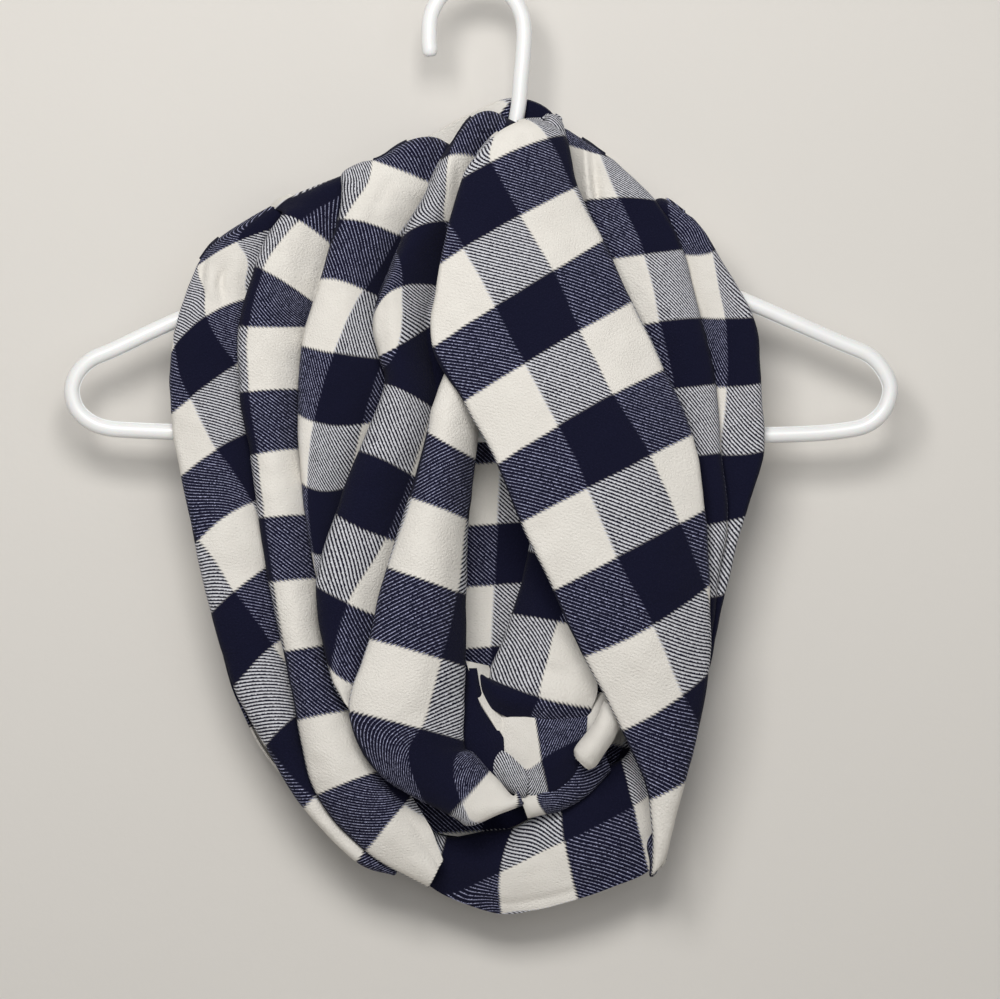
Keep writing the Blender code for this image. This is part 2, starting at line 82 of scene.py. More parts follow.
class Wire:
    """The output of a shader node, on which sums and products add their own nodes."""

    def __init__(self, finish, socket):
        self.finish = finish
        self.socket = socket

    def sum_of(self, operation, first, second=None):
        sockets = {0: first} if second is None else {0: first, 1: second}
        return self.finish.wire("ShaderNodeMath", {"operation": operation}, sockets)

    def __add__(self, other):
        return self.sum_of("ADD", self, other)

    def __radd__(self, other):
        return self.sum_of("ADD", other, self)

    def __sub__(self, other):
        return self.sum_of("SUBTRACT", self, other)

    def __rsub__(self, other):
        return self.sum_of("SUBTRACT", other, self)

    def __mul__(self, other):
        return self.sum_of("MULTIPLY", self, other)

    def __rmul__(self, other):
        return self.sum_of("MULTIPLY", other, self)

    def __truediv__(self, other):
        return self.sum_of("DIVIDE", self, other)

    def __abs__(self):
        return self.sum_of("ABSOLUTE", self)

    def fraction(self):
        return self.sum_of("FRACT", self)

    def clamped(self):
        return self.finish.wire("ShaderNodeClamp", {}, {"Value": self})


class Finish:
    """A material that is being put together from nodes."""

    def __init__(self, name):
        self.made = bpy.data.materials.new(name)
        self.made.use_nodes = True
        self.tree = self.made.node_tree
        self.shader = self.tree.nodes["Principled BSDF"]

    def node(self, kind, settings, sockets):
        made = self.tree.nodes.new(kind)
        for key, value in settings.items():
            if key == "stops":
                while len(made.color_ramp.elements) < len(value):
                    made.color_ramp.elements.new(1.0)
                for stop, (place, colour) in zip(made.color_ramp.elements, value):
                    stop.position = place
                    stop.color = colour
            else:
                setattr(made, key, value)
        self.feed(made, sockets)
        return made

    def feed(self, node, sockets):
        for key, value in sockets.items():
            if isinstance(value, Wire):
                self.tree.links.new(value.socket, node.inputs[key])
            else:
                node.inputs[key].default_value = value

    def wire(self, kind, settings, sockets, output=0):
        return Wire(self, self.node(kind, settings, sockets).outputs[output])

    def mix_colours(self, share, first, second):
        """Colours blended: all first at share 0, all second at share 1."""
        settings = {"data_type": "RGBA"}
        sockets = {0: share, 6: first, 7: second}
        return self.wire("ShaderNodeMix", settings, sockets, 2)

    def mottle(self, place, scale, detail):
        """Soft patches between 0 and 1, about scale of them to each unit of place."""
        sockets = {"Vector": place, "Scale": scale, "Detail": detail}
        return self.wire("ShaderNodeTexNoise", {}, sockets)

    def relief(self, height, strength, distance):
        """A normal that stands up with height, by distance metres at most."""
        sockets = {"Strength": strength, "Distance": distance, "Height": height}
        return self.wire("ShaderNodeBump", {}, sockets)


def gloss_plastic():
    """White plastic with the faint streaks of its flow in the mould, and finely scuffed."""
    finish = Finish("white_gloss_plastic")
    place = finish.wire("ShaderNodeTexCoord", {}, {}, OBJECT_PLACE)
    flow = finish.mottle(place, 38.0, 3.0)
    scuff = finish.mottle(place, 900.0, 2.0)
    bump = finish.relief(flow + scuff * 0.3, 0.08, 0.0004)
    finish.feed(finish.shader, {
        "Base Color": finish.mix_colours(flow, PLASTIC_SHADE, PLASTIC_LIGHT),
        "Roughness": 0.24 + scuff * 0.12,
        "IOR": 1.5,
        "Subsurface Weight": 0.08,
        "Subsurface Scale": 0.002,
        "Normal": bump,
    })
    return finish.made


def smooth_rows(rows, along):
    """Rows at fractional positions, on the smooth curve through every row of a table."""
    rows = np.asarray(rows, float)
    first = 2 * rows[:1] - rows[1:2]
    last = 2 * rows[-1:] - rows[-2:-1]
    padded = np.concatenate([first, rows, last])
    index = np.clip(np.floor(along).astype(int), 0, len(rows) - 2)
    part = (along - index).reshape((-1,) + (1,) * (rows.ndim - 1))
    a, b, c, d = (padded[index + step] for step in range(4))
    curve = 2 * b + (c - a) * part + (2 * a - 5 * b + 4 * c - d) * part**2
    return 0.5 * (curve + (3 * b - a - 3 * c + d) * part**3)


def rod(name, path, closed, radius, shift=(0.0, 0.0)):
    """A stretch of tube along a centre line, moved out of it by shift (outward, forward)."""
    table = path + path[:1] if closed else path
    line = smooth_rows(table, np.arange(0, len(table) - 1 + 1e-6, PATH_STEP))
    if closed:
        line = line[:-1]
    else:
        tip = len(TIP_SHARES)
        line = np.concatenate([table[:tip], line[round(tip / PATH_STEP):]])
    along = np.gradient(line, axis=0)
    along /= np.linalg.norm(along, axis=1)[:, None]
    line = line + shift[0] * np.stack([-along[:, 1], along[:, 0]], axis=1)
    curve = bpy.data.curves.new(name, "CURVE")
    curve.dimensions = "3D"
    curve.bevel_depth = radius * MM
    curve.bevel_resolution = 6 if radius > 1 else 1
    curve.use_fill_caps = True
    spline = curve.splines.new("POLY")
    spline.points.add(len(line) - 1)
    for point, (x, drop) in zip(spline.points, line):
        point.co = (x * MM, -shift[1] * MM, -drop * MM, 1)
    spline.use_cyclic_u = closed
    if not closed:
        for point, share in zip(spline.points, TIP_SHARES):
            point.radius = share
    holder = bpy.data.objects.new(name, curve)
    mesh = bpy.data.meshes.new_from_object(holder)
    bpy.data.objects.remove(holder, do_unlink=True)
    mesh.shade_smooth()
    made = bpy.data.objects.new(name, mesh)
    bpy.context.scene.collection.objects.link(made)
    return made


def apply_modifiers(item):
    """Leaves an object with the mesh that its modifiers made of it."""
    graph = bpy.context.evaluated_depsgraph_get()
    mesh = bpy.data.meshes.new_from_object(item.evaluated_get(graph))
    item.modifiers.clear()
    item.data = mesh


plastic = gloss_plastic()
hanger = rod("hanger_rod", FRAME, True, ROD)
hook = rod("hanger_hook", HOOK, False, ROD)
joined = hanger.modifiers.new("hook", "BOOLEAN")
joined.operation = "UNION"
joined.solver = "EXACT"
joined.object = hook
apply_modifiers(hanger)
bpy.data.objects.remove(hook, do_unlink=True)
hanger.data.set_sharp_from_angle(angle=SHARP_JOIN)
mould_line = rod("hanger_mould_line", FRAME, True, MOULD_LINE, (-ROD, MOULD_LINE_OUT))
for item in (hanger, mould_line):
    item.data.materials.clear()
    item.data.materials.append(plastic)
    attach(item, "root")
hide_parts("hanger")

# ---- Inner strand -----------------------------------------------------------------------
# The first winding of the loop: soft brushed flannel, laid over both shoulders of the hanger
# and hanging behind it. Between the front strands it shows through the gap in the middle.

WALL = 1.1  # brushed flannel, one layer
NAVY = (0.0048, 0.0052, 0.0190, 1)
NAVY_NAP = (0.013, 0.014, 0.040, 1)
CREAM = (0.82, 0.79, 0.735, 1)
CREAM_SHADE = (0.71, 0.665, 0.61, 1)
PALE_YARN = (0.58, 0.60, 0.86, 1)  # a cream yarn between navy ones
BLEACHED = (0.72, 0.75, 0.86, 1)  # cream yarn where it lies on navy
TWILL_LINES = 15.5  # diagonal lines across one square of the check
DARK_LINE = 0.19  # the share of the twill's step that a pale line takes on the navy
DARK_EDGE = 4.2  # and how sharply it ends
LIGHT_LINE = 0.53  # the share of the step that the navy takes on the cream
LIGHT_EDGE = 2.8
HAIRS_SCALE = 34.0  # coarse tufts of the brushed face across one square
NAP_SCALE = 90.0  # fine ones
CLOUD_SCALE = 2.3  # wide patches in which the cream is mottled
BORDER = 60.0  # how sharply one square gives way to the next
TOOTH = 0.034  # how far a twill line pushes the border between squares, in squares
TOOTH_HAIRS = 0.03  # how far the tufts push it


def check_flannel():
    """A cream and navy twill check: solid where like yarns cross, diagonal lines where they don't."""
    finish = Finish("brushed_check_flannel")
    weave = finish.wire("ShaderNodeUVMap", {"uv_map": "weave"}, {})
    apart = finish.node("ShaderNodeSeparateXYZ", {}, {"Vector": weave})
    col, row = (Wire(finish, apart.outputs[axis]) for axis in (0, 1))
    hairs = finish.mottle(weave, HAIRS_SCALE, 3.0)
    nap = finish.mottle(weave, NAP_SCALE, 2.0)
    cloud = finish.mottle(weave, CLOUD_SCALE, 4.0)

    # The twill's lines, and squares whose borders are toothed where the lines meet them.
    slant = (col - row) * TWILL_LINES + (nap - 0.5) * 0.25 + (hairs - 0.5) * 0.45
    line = abs(slant.fraction() - 0.5) * 2
    teeth = (line - 0.5) * TOOTH + (hairs - 0.5) * TOOTH_HAIRS
    cream_col, cream_row = (
        ((0.25 - abs(((count + teeth) / 2 + 0.25).fraction() - 0.5)) * BORDER + 0.5).clamped()
        for count in (col, row)
    )

    # Broken pale lines on the navy, fuller ones on the cream, and solid colour where like yarns meet.
    worn = nap * 1.2 + hairs * 3.0 - 1.55
    dark_line = (((DARK_LINE - line) * DARK_EDGE + 0.5).clamped() * worn).clamped()
    light_line = ((line - LIGHT_LINE + (hairs - 0.5) * 0.9) * LIGHT_EDGE + 0.5).clamped()
    dark_twill = dark_line * cream_col * (1 - cream_row)
    light_twill = light_line * (1 - cream_col) * cream_row
    cream = (cream_col * cream_row + light_twill * 0.92).clamped()

    # The nap: pale fibres drift over the navy, and the cream is a little mottled.
    fibres = ((hairs * 0.6 + nap * 0.9 - 0.66) * 2.4).clamped()
    patches = ((cloud - 0.35) * 1.6).clamped()
    navy = finish.mix_colours(fibres * 0.5, NAVY, NAVY_NAP)
    navy = finish.mix_colours(dark_twill, navy, PALE_YARN)
    pale = finish.mix_colours(patches * 0.3 + fibres * 0.2, CREAM, CREAM_SHADE)
    pale = finish.mix_colours(light_twill * 0.7, pale, BLEACHED)
    colour = finish.mix_colours(cream, navy, pale)
    height = nap * 1.2 + hairs * 2.0 + cream * 0.2 - line * 0.15
    finish.feed(finish.shader, {
        "Base Color": colour,
        "Roughness": 0.93 - fibres * 0.06,
        "Sheen Weight": 0.03,
        "Sheen Roughness": 0.5,
        "Specular IOR Level": 0.12,
        "Normal": finish.relief(height, 0.55, 0.0008),
    })
    return finish.made


MAP_MARGIN = 0.01  # of a sheet's map, round the face and round the back
MAP_WIDE = 0.47  # the face's width in the map, and the back's
MAP_HIGH = 0.98  # the height of both
MAP_EDGE = 0.004  # the width of the strip that an edge takes
MAP_BACK = (0.5, 0)  # from a place on the face to the same place on the back
SHARP_EDGE = math.radians(60)


def cloth(name, points, weave, look):
    """A piece of cloth: its face through a grid of points (line, place, xyz in mm), its back a
    wall's thickness behind, and its edges closed. weave holds each point's (col, row)."""
    lines, places, _ = points.shape
    normal = np.cross(np.gradient(points, axis=0), np.gradient(points, axis=1))
    normal /= np.maximum(np.linalg.norm(normal, axis=2), 1e-9)[..., None]
    both = np.concatenate([points.reshape(-1, 3), (points - WALL * normal).reshape(-1, 3)])
    number = np.arange(lines * places).reshape(lines, places)
    quads = np.stack([number[:-1, :-1], number[1:, :-1], number[1:, 1:], number[:-1, 1:]], axis=-1)
    quads = quads.reshape(-1, 4)
    back = quads[:, ::-1] + lines * places
    edges = []
    for rim, outward in (
        (number[0], (0, -1)),
        (number[:, -1], (1, 0)),
        (number[-1, ::-1], (0, 1)),
        (number[::-1, 0], (-1, 0)),
    ):
        for a, b in zip(rim[:-1], rim[1:]):
            edges.append((a, b, b + lines * places, a + lines * places, MAP_EDGE * np.array(outward)))
    walls = np.array([edge[:4] for edge in edges])
    mesh = bpy.data.meshes.new(name)
    mesh.from_pydata((both * MM).tolist(), [], np.concatenate([quads, back, walls]).tolist())

    # Two maps: the first lays face and back side by side, and the check follows the second.
    along = np.linalg.norm(np.diff(points, axis=0), axis=2).mean(1).cumsum()
    wide = np.linalg.norm(np.diff(points, axis=1), axis=2).mean(0).cumsum()
    along = np.concatenate([[0], along]) / along[-1]
    wide = np.concatenate([[0], wide]) / wide[-1]
    wide = MAP_MARGIN + MAP_WIDE * wide[None, :]
    along = MAP_MARGIN + MAP_HIGH * along[:, None]
    flat = np.stack(np.broadcast_arrays(wide, along), axis=-1).reshape(-1, 2)
    edge_maps = [
        (flat[a], flat[b], flat[b] + outward, flat[a] + outward)
        for a, b, _, _, outward in edges
    ]
    sheet_map = np.concatenate([flat[quads], flat[quads[:, ::-1]] + MAP_BACK, np.array(edge_maps)])
    check = np.concatenate([weave.reshape(-1, 2), weave.reshape(-1, 2)])
    check_map = check[np.concatenate([quads, back, walls])]
    for key, values in (("OFBake", sheet_map), ("weave", check_map)):
        layer = mesh.uv_layers.new(name=key)
        layer.uv.foreach_set("vector", values.reshape(-1).astype(np.float32))
    mesh.shade_smooth()
    mesh.set_sharp_from_angle(angle=SHARP_EDGE)
    mesh.materials.append(look)
    made = bpy.data.objects.new(name, mesh)
    bpy.context.scene.collection.objects.link(made)
    return made


UNEVEN_FADE = 0.6  # how much weaker each finer layer of the unevenness is,
UNEVEN_FINER = 2.0  # how much finer,
UNEVEN_LAYERS = 3  # and how many there are


def unevenness(points, size, height, seed):
    """How far soft cloth stands out of its smooth shape at each point, in mm."""
    layers = (UNEVEN_FADE, UNEVEN_FINER, UNEVEN_LAYERS)
    flat = points.reshape(-1, 3)[:, [0, 2]] / size
    values = [noise.fractal(Vector((x, z, seed)), *layers) for x, z in flat]
    return height * np.array(values).reshape(points.shape[:2])


def to_xyz(points):
    """(x, drop, out) to the object's axes."""
    return np.stack([points[..., 0], -points[..., 2], -points[..., 1]], axis=-1)


flannel = check_flannel()
INNER_LEFT = -124.0
INNER_RIGHT = 114.0
INNER_MIDDLE = (INNER_LEFT + INNER_RIGHT) / 2
INNER_HALF = (INNER_RIGHT - INNER_LEFT) / 2
INNER_LOWEST = 424.0
INNER_RISE = 128.0  # how much higher its lower edge is at the sides
INNER_OUT = -8.0  # where its lower edge hangs in the middle
INNER_DISH = 6.0  # how much further forward that edge is at the sides
INNER_COLUMNS = 110
INNER_LINES = 90
NECK_X = 9.0  # the middle of the neck, where it stays behind the hanger
NECK_HALF = 16.0
SHOULDER_REACH = 48.0  # the width over which it comes to reach right over the bar
SHOULDER_END = 175.0  # the lowest part of the bar that it lies over
SHOULDER_STEP = 0.1  # the bar's outline has ten points to each of its table
TURN_RADIUS = 5.9  # of its turn over the bar
TURN_SLACK = 3.0  # how much wider the turn is where it comes to reach over
TURN_BEHIND = 90.0  # where the turn ends, in degrees back from straight up
TURN_REACH = 175.0  # how far round towards the front it starts on the shoulders
TURN_STEPS = 18
RIPPLE = 1.6  # the height of the soft ripples in its face
RIPPLE_LENGTH = 9.0
RIPPLE_SWAY = 2.2
INNER_COL_X = 12.0  # a place where a column of the check starts, and one where a row does
INNER_ROW_DROP = 236.5
INNER_SQUARE = 33.5  # how wide and how tall a square of the check hangs
INNER_ROW = 30.7
COL_LEAN = 0.05  # how far the columns and the rows lean
ROW_LEAN = 0.06

hanger_line = smooth_rows(FRAME + FRAME[:1], np.arange(0, len(FRAME), SHOULDER_STEP))
shoulders = np.array(sorted((x, drop) for x, drop in hanger_line if drop < SHOULDER_END))
grid = []
marks = []
for x in np.linspace(INNER_LEFT, INNER_RIGHT, INNER_COLUMNS):
    share = (x - INNER_LEFT) / (INNER_RIGHT - INNER_LEFT)
    bar = np.interp(x, shoulders[:, 0], shoulders[:, 1])
    clear = np.clip((abs(x - NECK_X) - NECK_HALF) / SHOULDER_REACH, 0, 1)
    start = TURN_BEHIND - TURN_REACH * clear * clear * (3 - 2 * clear)
    radius = TURN_RADIUS + TURN_SLACK * clear * (1 - clear)
    column = []
    for step in range(TURN_STEPS + 1):
        turn = math.radians(start + (TURN_BEHIND - start) * step / TURN_STEPS)
        column.append((x, bar - radius * math.cos(turn), -radius * math.sin(turn)))
    low = INNER_LOWEST - INNER_RISE * ((x - INNER_MIDDLE) / INNER_HALF) ** 2
    hang = INNER_OUT + INNER_DISH * abs(2 * share - 1) ** 2
    for down in np.linspace(0, 1, INNER_LINES + 1)[1:]:
        fall = 1 - (1 - down) ** 3
        ripple = RIPPLE * math.sin(x / RIPPLE_LENGTH + RIPPLE_SWAY * math.sin(down * 3))
        ripple = ripple * min(1, 4 * down) * min(1, 3 * (1 - down))
        column.append((x, bar + (low - bar) * down, -radius + (hang + radius) * fall + ripple))
    grid.append(column)
    across_x = x - INNER_COL_X
    for _, drop, _ in column:
        col = 1 + across_x / INNER_SQUARE + COL_LEAN * (drop - INNER_ROW_DROP) / INNER_SQUARE
        marks.append((col, (drop + ROW_LEAN * across_x - INNER_ROW_DROP) / INNER_ROW))
grid = to_xyz(np.array(grid).transpose(1, 0, 2))
marks = np.array(marks).reshape(INNER_COLUMNS, -1, 2).transpose(1, 0, 2)
grid[..., 1] += unevenness(grid, size=34.0, height=1.0, seed=3.0)
inner_strand = cloth("inner_strand_cloth", grid, marks, flannel)
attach(inner_strand, "root")
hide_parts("inner_strand")

# ---- Back swag --------------------------------------------------------------------------
# The lengths of the loop that hang behind from shoulder to shoulder, gathered into soft folds.
# The same flannel; its upper edge rolls over the inner strand towards the front.

BACK_SWAG = (
    (-150.5, 186, 214), (-145, 163, 250), (-138, 140, 284), (-125, 123, 341), (-117.5, 119, 361),
    (-106, 113, 383), (-84, 105, 408), (-63, 95, 426), (-42, 84, 436), (-20, 70.5, 444), (0, 60, 452),
    (18, 53.5, 455), (36, 59, 450), (50, 78.5, 444), (66, 88.5, 436), (84, 103.5, 424),
    (100, 111.5, 396), (112, 123, 352), (126, 142, 290), (137, 160, 246), (142, 186, 216),
)
SWAG_OUT = -8.0
SWAG_BULGE = 15.0
SWAG_RIM = 7.0  # how far in from its edges it rounds off
SWAG_FOLDS = (  # (share of the way down, half width, height)
    (0.12, 0.040, 3.4), (0.21, 0.040, -2.8), (0.30, 0.034, 5.6), (0.37, 0.040, -4.2), (0.46, 0.030, 4.4),
    (0.56, 0.052, -3.4), (0.64, 0.034, 6.4), (0.72, 0.036, -4.6), (0.80, 0.028, 5.0), (0.88, 0.030, -2.6),
)
FOLD_SWAY = 0.035  # how far a fold wanders on its way across
FOLD_SWELL = 0.3  # how much it swells and thins
SWAG_COLUMNS = 140
SWAG_LINES = (  # shares of the way down, close together by the edges
    [0.0, 0.004, 0.01, 0.018, 0.028],
    np.linspace(0.04, 0.96, 88),
    [0.975, 0.99, 1.0],
)
SWAG_SAG = 34.0  # how far the check has slipped down in the middle of the back
SAG_HALF = 112.0  # half the width that has slipped
SAG_FROM = 118.0  # and the drops between which it comes in
SAG_FULL = 270.0
SLIP = 10.0  # how far the check has slipped up beside the hook's stem
SLIP_X = 10.0
SLIP_HALF = 28.0
SLIP_FADE = 60.0
SWAG_SQUARE = 34.0
SWAG_COL = (13.5, 56.0)  # a place where a column of the check starts, and one where a row does
SWAG_ROW = (20.0, 54.0)
SWAG_TURN = math.radians(30)
SWAG_BACK = 2.0  # how far behind its solid's place it hangs
REACHES_FRONT = 3.0  # how much further forward the rolled edge comes where it reaches over
BEHIND_BAR = -1.0  # where the edge lies where it doesn't
BAR_CLEAR = 8.0  # how far above the bar it starts to reach over
BAR_FADE = 6.0  # how much higher still it reaches over in full
FLAP = 16.0  # how far it hangs down in front, beneath the stretches laid over it
FLAP_FULL = 8.0  # the reach forward from which it hangs down in full
FLAP_LEAST = 0.5
FLAP_LEAN = 0.12  # how far back the flap leans, as a share of its height
FLAP_STEPS = (1.0, 0.8, 0.6, 0.4, 0.2)
ROLL_RISE = 1.5  # how much higher the roll's crest is than where the flap starts


def swag_body(share, down):
    """How far out the swag's face lies, from its share across and its share of the way down."""
    belly = np.sin(np.pi * np.clip(share, 0, 1)) ** 0.6
    swell = np.sin(np.pi * (0.1 + 0.8 * np.clip(down, 0, 1))) ** 0.7
    folds = 0
    for middle, half, height in SWAG_FOLDS:  # each wanders and swells in its own way
        place = middle + FOLD_SWAY * np.sin(5 * share + 23 * middle) * belly
        strength = 1 - FOLD_SWELL + FOLD_SWELL * np.sin(9 * share + 31 * middle)
        folds = folds + height * strength * np.exp(-(((down - place) / half) ** 2))
    return SWAG_OUT - SWAG_BULGE * belly * swell - folds * belly


def swag_face(share, down, height):
    """How far out it lies where it is that high, with its upper and lower rims rounded off."""
    rim = np.clip(1 - np.minimum(down, 1 - down) * height / SWAG_RIM, 0, 1)
    return swag_body(share, down) + SWAG_RIM * (1 - np.sqrt(1 - rim**2))


table = smooth_rows(BACK_SWAG, np.linspace(0, len(BACK_SWAG) - 1, SWAG_COLUMNS))
downs = np.concatenate(SWAG_LINES)
grid = []
marks = []
for (x, top, bottom), share in zip(table, np.linspace(0, 1, SWAG_COLUMNS)):
    bar = np.interp(x, shoulders[:, 0], shoulders[:, 1])
    over = REACHES_FRONT * np.clip((bar - BAR_CLEAR - top) / BAR_FADE, 0, 1) + BEHIND_BAR
    height = bottom - top
    outs = swag_face(share, downs, height)
    reach = max(over - outs[0], 0.0)
    flap = FLAP * np.clip(reach / FLAP_FULL, 0, 1) + FLAP_LEAST
    column = [(x, top + ROLL_RISE + flap * step, over - FLAP_LEAN * flap * step) for step in FLAP_STEPS]
    mark = [(x, top - reach - flap * step) for step in FLAP_STEPS]
    for angle in range(10, 90, 10):
        turn = math.radians(angle)
        column.append((x, top + ROLL_RISE * (1 - math.sin(turn)), over - reach * (1 - math.cos(turn))))
        mark.append((x, top - reach * (1 - angle / 90)))
    column += [(x, top + height * down, out) for down, out in zip(downs, outs)]
    mark += [(x, top + height * down) for down in downs]
    grid.append(column)
    marks.append(mark)
grid = np.array(grid)
marks = np.array(marks)
near_stem = np.clip(1 - ((marks[..., 0] - SLIP_X) / SLIP_HALF) ** 2, 0, 1)
below_top = marks[..., 1] - table[:, 1][:, None]
marks[..., 1] += SLIP * near_stem * np.clip(1 - below_top / SLIP_FADE, 0, 1)
come_in = np.clip((marks[..., 1] - SAG_FROM) / (SAG_FULL - SAG_FROM), 0, 1)
middle_share = np.clip(1 - (marks[..., 0] / SAG_HALF) ** 2, 0, 1)
marks[..., 1] -= SWAG_SAG * middle_share * come_in * come_in * (3 - 2 * come_in)
from_col = marks - SWAG_COL
from_row = marks - SWAG_ROW
marks = 1 + np.stack([
    from_col[..., 0] * math.cos(SWAG_TURN) + from_col[..., 1] * math.sin(SWAG_TURN),
    from_row[..., 0] * math.sin(SWAG_TURN) - from_row[..., 1] * math.cos(SWAG_TURN),
], axis=-1) / SWAG_SQUARE
swag_shift = -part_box("back_swag")[1].y / MM - grid[..., 2].min() - SWAG_BACK
grid[..., 2] += swag_shift
grid = to_xyz(grid)
grid[..., 1] += unevenness(grid, size=30.0, height=1.1, seed=11.0)
back_swag = cloth("back_swag_cloth", grid, marks, flannel)
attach(back_swag, "root")
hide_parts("back_swag")

# ---- Right falls ------------------------------------------------------------------------
# Two lengths of the loop that come down from the right shoulder, the outer one in shadow
# beneath the inner. Each is flannel turned under along its edge and smooth over its face.

FOLD_RADIUS = 3.0  # of an edge that is turned under
FOLD_SHARE = 0.26  # the most that its radius takes of a narrow stretch's width
FOLD_LEAST = 1.6  # and the least radius, however narrow the stretch
RETURN = 9.0  # how far the turned cloth runs back in behind the face
RETURN_GAP = 1.5  # how far short of a narrow stretch's middle it ends
RETURN_LEAST = 0.3
RETURN_STEPS = (1.0, 0.75, 0.5, 0.25)
TUCK = 7.0  # how far a tucked edge runs on beneath its neighbour
TUCK_SHARE = 0.35  # the most that it takes of a narrow stretch's width
TUCK_SINK = 0.2  # how far back it goes, as a share of its length
TUCK_STEPS = (1.0, 0.8, 0.6, 0.4, 0.2)
CREST_RADIUS = 9.0  # of the turn over the hanger's top
CREST_ROWS = 3  # the most rows of a table that the turn takes up
CREST_TURNS = range(0, 90, 8)  # the lines of the mesh in it, in degrees from its top
CREST_CLOSE = 0.75  # how much of a folded edge's thickness is pressed out at the crest
CREST_FINE = 0.02  # rows of the table between the turn and the next line of the mesh
COVERED_DROP = 6.0  # how much lower the crest's tucked end lies
ROUNDED = 8.0  # how much of a stretch's width turns down at each end of its crest
ROUNDED_DROP = 2.6
ROUNDED_MOST = 1.3  # it turns down on past the edge, by 0.3 of that width at most
FACE_STEPS = 34  # points of the mesh across a stretch's face
LINE_STEPS = 15  # lines of the mesh to a row of a table
TAIL_STEPS = ((2.5, 1.0), (5.0, 2.2), (9.0, 3.2))  # a laid back end: (down the swag, sunk in it)
TAIL_ARCH = 1.2  # how far the cloth arches on its way to the swag
TAIL_SHARES = (0.15, 0.3, 0.45, 0.6, 0.75, 0.9)
TAIL_SLOPE = 0.6  # how far it drops there at least, as a share of the way down the swag
CHECK_LINE = 6  # the check runs on there as it does from this line of the mesh to the first
LEAST_SQUARE = 31.0  # the smallest square of the check there
SEEDS = 97  # how many patterns of unevenness the stretches can have
lifts = {}  # how much further out each stretch lies than its table says


def stations(width, left, right):
    """Across one line, for each point: how far across, how far behind, how far along the cloth."""
    radius = min(FOLD_RADIUS, max(FOLD_SHARE * width, FOLD_LEAST))
    inward = max(min(RETURN, 0.5 * width - radius - RETURN_GAP), RETURN_LEAST)
    tuck = min(TUCK, TUCK_SHARE * width)
    bend = [
        (radius + inward * step, 2 * radius, radius - math.pi * radius - inward * step)
        for step in RETURN_STEPS
    ]
    for angle in range(-90, 90, 15):
        turn = math.radians(angle)
        at = radius * (1 - math.cos(turn))
        bend.append((at, radius * (1 - math.sin(turn)), radius * (1 + turn - math.pi / 2)))
    tucked = [(-tuck * step, TUCK_SINK * tuck * step**2, -tuck * step) for step in TUCK_STEPS]
    ends = {"folded": (bend, radius), "tucked": (tucked, 0.0), "plain": ([], 0.0)}
    near, near_start = ends[left]
    far, far_start = ends[right]
    face = np.linspace(near_start, width - far_start, FACE_STEPS)
    middle = [(at, 0.0, at) for at in face]
    far = [(width - at, behind, width - cloth_at) for at, behind, cloth_at in reversed(far)]
    return np.array(near + middle + far)


def across(rows, share):
    """Points on the curve through left, middle and right of a row, run straight on past its ends."""
    beyond = (share - np.clip(share, 0, 1))[:, None]
    share = np.clip(share, 0, 1)[:, None]
    left = (1 - share) * (1 - 2 * share)
    middle = 4 * share * (1 - share)
    right = share * (2 * share - 1)
    chord = (rows[2] - rows[0]) * (1, 1, 0, 1, 1)
    return left * rows[0] + middle * rows[1] + right * rows[2] + beyond * chord


def crease_relief(flat, creases):
    """Height in mm of soft ridges, and of troughs below 0, along lines drawn on the face."""
    relief = np.zeros(flat.shape[:2])
    for path, half_width, height in creases:
        path = smooth_rows(path, np.linspace(0, len(path) - 1, 3 * len(path)))
        nearest = np.full(flat.shape[:2], np.inf)
        place = np.zeros(flat.shape[:2])
        for index, (start, end) in enumerate(zip(path[:-1], path[1:])):
            way = end - start
            share = np.clip((flat - start) @ way / (way @ way), 0, 1)
            away = np.linalg.norm(flat - start - share[..., None] * way, axis=2)
            place = np.where(away < nearest, (index + share) / (len(path) - 1), place)
            nearest = np.minimum(nearest, away)
        fade = np.sin(np.pi * (0.06 + 0.88 * place)) ** 0.8  # weaker towards its ends
        relief += height * fade * np.exp(-((nearest / half_width) ** 2))
    return relief


